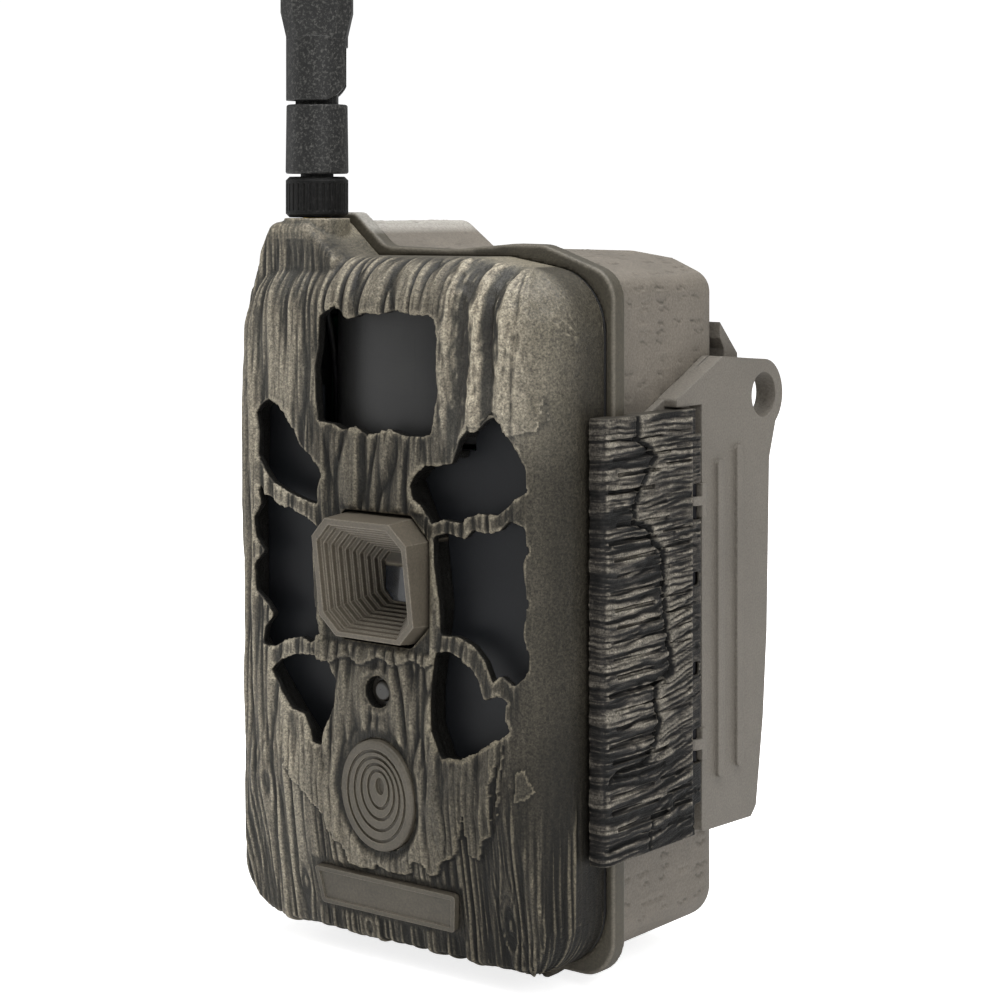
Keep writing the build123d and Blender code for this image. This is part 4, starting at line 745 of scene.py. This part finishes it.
def build_latch():
    voxel = 0.30
    ob = remeshed("side_latch", "latch_cover", voxel)
    me = ob.data
    co, no = verts_of(me), normals_of(me)
    x, y, z = (co / MM).T
    nx, ny, nz = no.T
    outer = step(0.35, 0.8, nx) * step(46.3, 46.9, x)
    front = step(0.35, 0.8, -ny) * step(-24.6, -25.4, y)
    a = np.where(front > outer, -25.9 - (48 - x), y)
    warp = 0.75 * perlin(a / 13, z / 10, 201) + 0.22 * perlin(a / 3.4, z / 3, 202)
    tilt = (0.05 + 0.13 * (1 - step(50, 84, z))) * np.clip(a + 9, 0, None)
    b = z - tilt + 0.8 * warp
    jag = 0.35 * perlin(a / 1.1, z / 1.3, 203)
    dc = segment_distance(y + jag, z + 0.3 * jag, CRACK)
    dl = segment_distance(y + jag, z + jag, CRACK_LOW)
    zz = np.array([p[1] for p in CRACK])[::-1]
    yy = np.array([p[0] for p in CRACK])[::-1]
    right = step(-0.4, 0.4, y + jag - np.interp(z, zz, yy)) * (z > 43)
    broad = 0.60 * (billow(b / 3.1, a / 46, 211, 0.75) - 0.42)
    fine = 0.42 * (billow(b / 1.30, a / 24, 212, 0.85) - 0.5)
    thin = 0.15 * perlin(b / 0.66, a / 9, 213)
    torn = 0.30 * (billow(b / 2.0, a / 5.5, 214, 1.0) - 0.5) * step(0.0, 0.5, perlin(a / 9, z / 7, 215))
    h = broad * (1 - 0.5 * right) + fine * (0.85 + 0.25 * right) + thin + torn
    strip = step(-24.0, -25.5, y) * step(44.2, 45.0, x)
    h = h * (1 - 0.55 * front) + 0.0 * strip
    h = h + 0.42 * right * np.exp(-dc / 3.0) - 1.0 * np.exp(-(dc / 0.50) ** 2) * outer - 0.35 * (1 - right) * np.exp(-dc / 1.6) * outer
    h = h - 0.5 * np.exp(-(dl / 0.4) ** 2) * outer
    # torn notches along the rear edge
    rear = step(4.8, 6.8, y)
    h = h - rear * 0.45 * np.clip(perlin(z / 1.8, y / 3, 221), 0, 1)
    # the rear edge swings in toward the bracket, so nothing stands proud there
    h = np.clip(h, -1.1, 0.75 - 0.85 * step(3.6, 5.2, y))
    w = np.maximum(outer, front * 0.8)
    ends = step(24.9, 26.0, z) * (1 - step(111.4, 112.4, z))
    w = w * (0.25 + 0.75 * ends)
    co = co + no * (h * w)[:, None] * MM
    set_verts(me, co)
    smooth(me)
    attr(me, "convex", convexity(me, 1))
    attr(me, "relief", np.clip(0.55 + h * 0.75, 0, 1))
    attr(me, "crack_and_plate_shadow", np.clip(1.2 * np.exp(-(dc / 0.62) ** 2) + 0.8 * np.exp(-(dl / 0.45) ** 2), 0, 1) * (w > 0.05))
    # painted shade left of the latch crack and on the low front of the latch
    attr(me, "painted_crack_shade", np.clip(np.exp(-dc / 4.5) * (1 - right) + 0.5 * step(46, 30, z) * step(-12, 2, y), 0, 1) * outer)
    attr(me, "flow", np.stack([a, b, x * 0 + y], 1))
    attr(me, "right", right)
    attr(me, "front", front)
    attr(me, "outer", np.clip(w * 1.6 + 0.15, 0, 1))
    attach(ob, "side_latch")
    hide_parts("side_latch")
    return ob


def latch_material():
    g = Graph("bark_latch")
    flow = g.attribute("flow", True)
    relief, convex = g.attribute("relief"), g.attribute("convex")
    crack_and_plate_shadow, right, front, outer = g.attribute("crack_and_plate_shadow"), g.attribute("right"), g.attribute("front"), g.attribute("outer")
    streak = g.noise(1.0, 4.0, 0.65, g.scaled(flow, (0.07, 1.15, 0.0)))
    hair = g.noise(1.0, 3.0, 0.6, g.scaled(flow, (0.22, 3.6, 0.0)))
    painted_crack_shade = g.attribute("painted_crack_shade")
    patch = g.noise(1.0, 2.0, 0.5, g.scaled(flow, (0.10, 0.16, 0.0)))
    stipple = g.noise(2300.0, 2.0, 0.7)
    t = g.math("ADD", relief, g.math("MULTIPLY", g.math("SUBTRACT", streak, 0.5), 0.9))
    t = g.math("ADD", t, g.math("MULTIPLY", convex, 0.22))
    t = g.math("ADD", t, g.math("MULTIPLY", g.math("SUBTRACT", hair, 0.5), 0.35))
    t = g.math("ADD", t, g.math("MULTIPLY", g.math("SUBTRACT", patch, 0.55), 0.5))
    t = g.math("ADD", t, g.math("MULTIPLY", right, 0.09))
    t = g.math("SUBTRACT", t, g.math("MULTIPLY", front, 0.04))
    # painted shade darkens the paint left of the crack
    t = g.math("SUBTRACT", t, g.math("MULTIPLY", painted_crack_shade, 0.26))
    c = g.ramp(t, [(0.36, srgb(9, 9, 8)), (0.52, srgb(30, 28, 26)), (0.68, srgb(66, 62, 56)), (0.98, srgb(112, 107, 97))])
    c = g.mix(g.remap(convex, 0.3, 0.9, 0.0, 0.5), c, srgb(128, 122, 111))
    c = g.mix(crack_and_plate_shadow, c, srgb(10, 10, 9))
    c = g.grain(c, stipple, 0.34, 1.75)
    c = g.grain(c, g.noise(1100.0, 2.0, 0.6, g.scaled(g.coord, (1.0, 0.45, 1.0))), 0.62, 1.36)
    c = g.mix(g.math("SUBTRACT", 1.0, outer, clamp=True), c, srgb(52, 49, 43))
    g.set("Base Color", c)
    g.set("Roughness", g.remap(stipple, 0.25, 0.75, 0.50, 0.70))
    g.set("Specular IOR Level", 0.22)
    h = g.math("ADD", g.math("MULTIPLY", stipple, 0.6), g.math("MULTIPLY", hair, 1.4))
    g.set("Normal", g.bump(h, 0.16, 0.9))
    return g.mat


# ================================================================ the other finishes
def dark_window():
    g = Graph("dark_window")
    big = g.noise(60.0, 2.0, 0.5)
    fine = g.noise(2600.0, 2.0, 0.6)
    c = g.mix(g.remap(big, 0.3, 0.7), srgb(20, 21, 24), srgb(26, 28, 31))
    c = g.mix(g.remap(fine, 0.5, 0.8, 0.0, 0.15), c, srgb(56, 59, 64))
    g.set("Base Color", c)
    g.set("Specular IOR Level", 0.30)
    g.set("Roughness", g.remap(fine, 0.3, 0.7, 0.42, 0.54))
    g.set("Normal", g.bump(fine, 0.012))
    return g.mat


def fresnel_lens():
    g = Graph("fresnel")
    x, y, z = g.axes()
    fine = g.noise(2600.0, 2.0, 0.6)
    # moulded facet rows on the lens sheet
    rows = g.math("ABSOLUTE", g.math("SUBTRACT", g.math("FRACT", g.math("MULTIPLY", z, 1000 / 7.2)), 0.5))
    cols = g.math("ABSOLUTE", g.math("SUBTRACT", g.math("FRACT", g.math("MULTIPLY", x, 1000 / 6.6)), 0.5))
    line = g.math("MAXIMUM", g.remap(rows, 0.470, 0.5), g.remap(cols, 0.470, 0.5))
    c = g.mix(g.remap(g.noise(80.0, 2.0), 0.3, 0.7), srgb(33, 33, 33), srgb(39, 39, 38))
    c = g.mix(g.math("MULTIPLY", line, 0.10), c, srgb(28, 28, 28))
    c = g.mix(g.remap(fine, 0.5, 0.8, 0.0, 0.12), c, srgb(72, 72, 70))
    g.set("Base Color", c)
    g.set("Roughness", g.remap(fine, 0.3, 0.7, 0.50, 0.60))
    h = g.math("ADD", g.math("MULTIPLY", fine, 0.3), g.math("MULTIPLY", line, -0.4))
    g.set("Normal", g.bump(h, 0.02))
    return g.mat


def clear_glass():
    g = Graph("clear_glass")
    smear = g.noise(220.0, 3.0, 0.6)
    g.set("Base Color", srgb(196, 202, 206))
    g.set("Roughness", g.remap(smear, 0.3, 0.7, 0.02, 0.10))
    g.set("Transmission Weight", 0.92)
    g.set("IOR", 1.49)
    return g.mat


def camera_window():
    """Smoked pane in front of the taking lens."""
    g = Graph("camera_window")
    smear = g.noise(260.0, 3.0, 0.6)
    c = g.mix(g.remap(smear, 0.3, 0.7), srgb(30, 32, 36), srgb(44, 46, 51))
    g.set("Base Color", c)
    g.set("Roughness", g.remap(smear, 0.3, 0.7, 0.10, 0.22))
    g.set("Coat Weight", 0.6)
    g.set("Normal", g.bump(smear, 0.01))
    return g.mat


def light_pipe():
    g = Graph("light_pipe")
    n = g.noise(700.0, 2.0, 0.5)
    g.set("Base Color", g.mix(g.remap(n, 0.3, 0.7), srgb(40, 38, 33), srgb(54, 51, 45)))
    g.set("Roughness", g.remap(n, 0.3, 0.7, 0.25, 0.40))
    g.set("Coat Weight", 0.3)
    nrm, mask = g.edges(0.3)
    g.set("Normal", g.bump(n, 0.02, 1.0, nrm))
    return g.mat


def antenna_black(name="antenna_black", dark=1.0, fleck=0.62):
    g = Graph(name)
    stip = g.noise(1500.0, 3.0, 0.75)
    fine = g.noise(3600.0, 2.0, 0.6)
    big = g.noise(40.0, 3.0, 0.6)
    c = g.mix(g.remap(big, 0.3, 0.7), tint(srgb(22, 22, 22), dark), tint(srgb(30, 30, 29), dark))
    c = g.mix(g.remap(stip, 0.50, 0.70, 0.0, fleck), c, tint(srgb(104, 103, 99), dark))
    nrm, mask = g.edges(0.4)
    c = g.mix(g.math("MULTIPLY", mask, 0.35), c, tint(srgb(96, 95, 92), dark))
    g.set("Base Color", c)
    g.set("Roughness", g.remap(stip, 0.3, 0.7, 0.40, 0.56))
    g.set("Specular IOR Level", 0.34 * dark + 0.04)
    g.set("Normal", g.bump(g.math("ADD", stip, g.math("MULTIPLY", fine, 0.4)), 0.13, 0.9, nrm))
    return g.mat


def board():
    g = Graph("board_green")
    x, y, z = g.axes()
    vec = g.scaled(g.coord, (1000, 1000, 1000))
    br = g.add("ShaderNodeTexBrick", offset=0.37, squash=0.7)
    g.put(br.inputs["Vector"], g.scaled(g.coord, (1.0, 0.0, 1.0)))
    br.inputs["Scale"].default_value = 260.0
    br.inputs["Mortar Size"].default_value = 0.05
    tr = br.outputs["Fac"]
    v = g.add("ShaderNodeTexVoronoi", feature="DISTANCE_TO_EDGE", distance="MANHATTAN") if False else g.add("ShaderNodeTexVoronoi", feature="F1", distance="CHEBYCHEV")
    g.put(v.inputs["Vector"], g.coord)
    v.inputs["Scale"].default_value = 210.0
    pads = g.remap(v.outputs["Distance"], 0.10, 0.13, 1.0, 0.0)
    n = g.noise(150.0, 3.0)
    c = g.mix(g.remap(n, 0.3, 0.7), srgb(16, 66, 42), srgb(22, 82, 52))
    c = g.mix(g.math("MULTIPLY", g.math("SUBTRACT", 1.0, tr), 0.35), c, srgb(42, 112, 72))
    c = g.mix(g.math("MULTIPLY", pads, 0.8), c, srgb(196, 178, 128))
    g.set("Base Color", c)
    g.set("Roughness", g.remap(n, 0.3, 0.7, 0.30, 0.44))
    g.set("Normal", g.bump(g.math("ADD", tr, pads), 0.03))
    return g.mat


def cell_sleeve():
    """Plain wrapped cells: a copper end, a dark sleeve and two thin rings, plated caps."""
    g = Graph("cell_sleeve")
    x, y, z = g.axes()
    local = g.math("MODULO", g.math("SUBTRACT", g.math("MULTIPLY", z, 1000.0), 18.6), 55.2)
    col = g.math("FRACT", g.math("MULTIPLY", g.math("ADD", g.math("MULTIPLY", x, 1000.0), 32.4), 1 / 32.4))
    flip = g.math("GREATER_THAN", col, 0.5)
    a = g.math("SUBTRACT", local, 27.5)
    a = g.math("MULTIPLY", a, g.math("SUBTRACT", 1.0, g.math("MULTIPLY", flip, 2.0)))
    n = g.noise(300.0, 3.0)
    dark = g.mix(g.remap(n, 0.3, 0.7), srgb(24, 25, 28), srgb(34, 35, 39))
    copper = g.mix(g.remap(n, 0.3, 0.7), srgb(168, 108, 62), srgb(186, 124, 74))
    c = g.mix(g.remap(a, 11.9, 12.0), dark, copper)
    for p in (10.6, -18.5):
        ring = g.remap(g.math("ABSOLUTE", g.math("SUBTRACT", a, p)), 0.30, 0.40, 1.0, 0.0)
        c = g.mix(ring, c, srgb(214, 210, 200))
    cap = g.remap(g.math("ABSOLUTE", a), 24.6, 24.8)
    c = g.mix(cap, c, srgb(190, 190, 188))
    g.set("Base Color", c)
    g.set("Metallic", g.math("MULTIPLY", cap, 0.9))
    g.set("Roughness", g.remap(n, 0.3, 0.7, 0.24, 0.36))
    g.set("Normal", g.bump(n, 0.02))
    return g.mat


def led_lens():
    g = Graph("led_lens")
    n = g.noise(900.0, 2.0)
    g.set("Base Color", g.mix(g.remap(n, 0.3, 0.7), srgb(30, 22, 34), srgb(52, 40, 56)))
    g.set("Roughness", g.remap(n, 0.3, 0.7, 0.08, 0.18))
    g.set("Coat Weight", 0.5)
    return g.mat


def display():
    g = Graph("display")
    x, y, z = g.axes()
    n = g.noise(120.0, 2.0)
    # painted reflection: the screen lightens toward the top
    c = g.mix(g.remap(z, 0.095, 0.125), srgb(26, 32, 34), srgb(40, 50, 52))
    c = g.mix(g.remap(n, 0.3, 0.7, 0.0, 0.2), c, srgb(60, 70, 70))
    g.set("Base Color", c)
    g.set("Roughness", g.remap(n, 0.3, 0.7, 0.18, 0.26))
    g.set("Coat Weight", 0.4)
    g.set("Normal", g.bump(g.noise(3000.0, 1.0), 0.004))
    return g.mat


def rubber(name, col, rough=0.7):
    g = Graph(name)
    n = g.noise(160.0, 3.0)
    f = g.noise(2600.0, 2.0)
    c = g.mix(g.remap(n, 0.3, 0.7), tint(col, 0.85), tint(col, 1.2))
    nrm, mask = g.edges(0.25)
    c = g.mix(g.math("MULTIPLY", mask, 0.25), c, tint(col, 2.2))
    g.set("Base Color", c)
    g.set("Roughness", g.remap(f, 0.3, 0.7, rough - 0.08, rough + 0.1))
    g.set("Specular IOR Level", 0.3)
    g.set("Sheen Weight", 0.15)
    g.set("Normal", g.bump(f, 0.03, 1.0, nrm))
    return g.mat


def hood_material():
    g = Graph("hood_tan")
    col = srgb(112, 104, 91)
    big = g.noise(80.0, 4.0, 0.6)
    fine = g.noise(2200.0, 2.0, 0.65)
    mid = g.noise(450.0, 3.0, 0.6)
    nrm, mask = g.edges(0.50)
    x, y, z = g.axes()
    c = g.mix(g.remap(big, 0.3, 0.7), srgb(84, 77, 66), srgb(97, 90, 78))
    # painted shade: darker in the depth of the hood
    c = g.mix(g.remap(y, -0.041, -0.031, 0.0, 0.55), c, srgb(38, 35, 29))
    c = g.mix(g.remap(mid, 0.35, 0.75, 0.0, 0.22), c, srgb(64, 59, 50))
    # painted highlight on the hood's edges, broken up by noise
    c = g.mix(g.math("MULTIPLY", mask, g.remap(mid, 0.2, 0.7, 0.40, 0.85)), c, srgb(160, 151, 134))
    c = g.grain(c, fine, 0.78, 1.22)
    g.set("Base Color", c)
    g.set("Roughness", g.remap(fine, 0.25, 0.75, 0.46, 0.62))
    g.set("Normal", g.bump(g.math("ADD", fine, g.math("MULTIPLY", mid, 0.5)), 0.05, 1.0, nrm))
    return g.mat


def badge_material():
    g = Graph("badge")
    big = g.noise(90.0, 4.0, 0.6)
    fine = g.noise(2200.0, 2.0, 0.65)
    nrm, mask = g.edges(0.30)
    c = g.mix(g.remap(big, 0.3, 0.7), srgb(72, 67, 57), srgb(86, 80, 69))
    c = g.mix(g.math("MULTIPLY", mask, 0.60), c, srgb(150, 142, 126))
    c = g.grain(c, fine, 0.74, 1.26)
    g.set("Base Color", c)
    g.set("Roughness", g.remap(fine, 0.25, 0.75, 0.48, 0.64))
    g.set("Normal", g.bump(fine, 0.05, 1.0, nrm))
    return g.mat


# ================================================================ build
bark = build_front()
bark.data.materials.append(bark_material())
rear = build_rear()
rear.data.materials.append(rear_material())
latch = build_latch()
latch.data.materials.append(latch_material())

taupe = moulded("taupe", srgb(106, 101, 93), rough=0.58, grain=0.42, bump=0.11, vary=0.07, wear=0.35, edge=0.45, dirt=0.14, blotch=18)
black = moulded("black_plastic", srgb(36, 36, 35), rough=0.5, grain=0.35, bump=0.04, vary=0.12, wear=0.25, edge=0.3)
grey = moulded("grey_plastic", srgb(104, 104, 102), rough=0.5, grain=0.35, bump=0.03, vary=0.08, wear=0.25, edge=0.25)
panel = moulded("panel_black", srgb(40, 41, 40), rough=0.56, grain=0.5, bump=0.07, vary=0.10, wear=0.3, edge=0.4)
chip = moulded("chip_black", srgb(26, 26, 29), rough=0.36, grain=0.3, bump=0.015, vary=0.12, wear=0.2, edge=0.15)
card = moulded("card_blue", srgb(38, 58, 98), rough=0.42, grain=0.3, bump=0.02, vary=0.08, wear=0.3, edge=0.2)
key = rubber("key_grey", srgb(112, 114, 114), 0.62)
seal = rubber("seal_rubber", srgb(30, 30, 30), 0.75)
steel = metal("steel", srgb(196, 196, 194), 0.30)
blued = metal("blued_steel", srgb(38, 38, 40), 0.42)
brass = metal("brass", srgb(205, 172, 104), 0.28)
gold = metal("gold", srgb(226, 190, 112), 0.24)
plate_mat = badge_material()

LOOK = {
    "lens_hood": hood_material(), "lens_window": camera_window(), "pir_lens": fresnel_lens(), "ir_filters": dark_window(),
    "status_light_pipe": light_pipe(), "knot_badge": plate_mat, "name_plate": plate_mat, "tree_bracket": taupe,
    "antenna_nut": antenna_black("nut_black", 0.40, 0.30), "antenna_blade": antenna_black(),
}
LOOK["antenna_elbow"] = LOOK["antenna_tilt_pin"] = LOOK["antenna_blade"]
green, leds, sleeve, glass, lcd = board(), led_lens(), cell_sleeve(), clear_glass(), display()
for n in NODES:
    if n in LOOK or n in ("front_housing", "rear_housing", "side_latch"):
        continue
    if n in ("ir_led_board", "sensor_board", "main_board"):
        LOOK[n] = green
    elif n == "ir_leds":
        LOOK[n] = leds
    elif n == "aa_cells":
        LOOK[n] = sleeve
    elif n in ("lcd_window", "lens_element"):
        LOOK[n] = glass
    elif n == "lcd_module":
        LOOK[n] = lcd
    elif n.startswith("key_"):
        LOOK[n] = key
    elif n in ("door_gasket", "dc_port_plug"):
        LOOK[n] = seal
    elif n in ("door_hinge_pin", "latch_hinge_pin"):
        LOOK[n] = blued
    elif n in ("bracket_screws", "panel_screws", "cell_springs", "cell_plates", "sd_socket"):
        LOOK[n] = steel
    elif n in ("tripod_insert", "sma_jack"):
        LOOK[n] = brass
    elif n in ("plungers", "door_pads"):
        LOOK[n] = gold
    elif n in ("image_sensor", "modem_module", "pir_sensor"):
        LOOK[n] = chip
    elif n == "sd_card":
        LOOK[n] = card
    elif n in ("inner_panel", "battery_tray"):
        LOOK[n] = panel
    elif n in ("speaker", "switch_body", "power_switch", "tact_switches"):
        LOOK[n] = grey
    else:
        LOOK[n] = black
for n, m in LOOK.items():
    ob = NODES[n]
    for s in ob.material_slots:
        s.link = "OBJECT"
        s.material = m
    if not ob.material_slots:
        ob.data.materials.append(m)

# ================================================================ stage
def plain_stage():
    lo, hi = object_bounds()
    me = bpy.data.meshes.new("floor")
    s = 6.0
    zf = lo.z - 0.0003
    me.from_pydata([(-s, -s, zf), (s, -s, zf), (s, s, zf), (-s, s, zf)], [], [(0, 1, 2, 3)])
    fl = bpy.data.objects.new("floor", me)
    scene.collection.objects.link(fl)
    g = Graph("floor_pale")
    n = g.noise(3.0, 2.0)
    g.set("Base Color", g.mix(g.remap(n, 0.3, 0.7), (0.93, 0.93, 0.93, 1), (0.95, 0.95, 0.95, 1)))
    g.set("Roughness", 0.9)
    g.set("Specular IOR Level", 0.1)
    lp = g.add("ShaderNodeLightPath")
    g.set("Emission Color", (1, 1, 1, 1))
    g.set("Emission Strength", g.math("MULTIPLY", lp.outputs["Is Camera Ray"], 0.80))
    me.materials.append(g.mat)

    world = bpy.data.worlds.new("studio")
    scene.world = world
    world.use_nodes = True
    nt = world.node_tree
    nt.nodes.clear()
    out = nt.nodes.new("ShaderNodeOutputWorld")
    mixn = nt.nodes.new("ShaderNodeMixShader")
    a, b = nt.nodes.new("ShaderNodeBackground"), nt.nodes.new("ShaderNodeBackground")
    a.inputs[0].default_value = (1, 1, 1, 1)
    a.inputs[1].default_value = 0.30
    b.inputs[0].default_value = (1, 1, 1, 1)
    b.inputs[1].default_value = 1.05
    lp = nt.nodes.new("ShaderNodeLightPath")
    nt.links.new(lp.outputs["Is Camera Ray"], mixn.inputs[0])
    nt.links.new(a.outputs[0], mixn.inputs[1])
    nt.links.new(b.outputs[0], mixn.inputs[2])
    nt.links.new(mixn.outputs[0], out.inputs[0])

    def area(name, loc, target, size, power, size_y=None):
        li = bpy.data.lights.new(name, "AREA")
        li.shape = "RECTANGLE"
        li.size = size
        li.size_y = size_y or size
        li.energy = power
        o = bpy.data.objects.new(name, li)
        scene.collection.objects.link(o)
        o.location = loc
        o.rotation_euler = (Vector(target) - Vector(loc)).to_track_quat("-Z", "Y").to_euler()
        return o

    c = (0.0, 0.0, 0.09)
    area("top_soft", (0.15, -0.05, 1.25), c, 1.3, 21.5, 1.1)
    area("key_right", (1.0, -0.55, 0.75), c, 0.5, 5.0, 0.8)
    area("fill_left", (-1.0, -0.5, 0.45), c, 0.6, 2.0, 0.9)

    cam_data = bpy.data.cameras.new("camera")
    cam = bpy.data.objects.new("camera", cam_data)
    scene.collection.objects.link(cam)
    cam.location = (0.3219, -0.4096, 0.1559)
    cam.rotation_euler = (math.radians(90), 0, math.radians(38.0))
    cam_data.lens = 87.37
    cam_data.sensor_width = 36.0
    cam_data.clip_start = 0.01
    cam_data.clip_end = 60.0
    cam_data.shift_y = -0.305
    # the rising front is for this one viewpoint; from anywhere else the lens sits square
    fc = cam_data.driver_add("shift_y")
    var = fc.driver.variables.new()
    var.name = "cx"
    var.type = "TRANSFORMS"
    var.targets[0].id = cam
    var.targets[0].transform_type = "LOC_X"
    fc.driver.type = "SCRIPTED"
    fc.driver.expression = "-0.305 if abs(cx - 0.3219) < 0.0005 else 0.0"
    scene.camera = cam
    scene.view_settings.view_transform = "Standard"
    scene.view_settings.look = "None"


plain_stage()
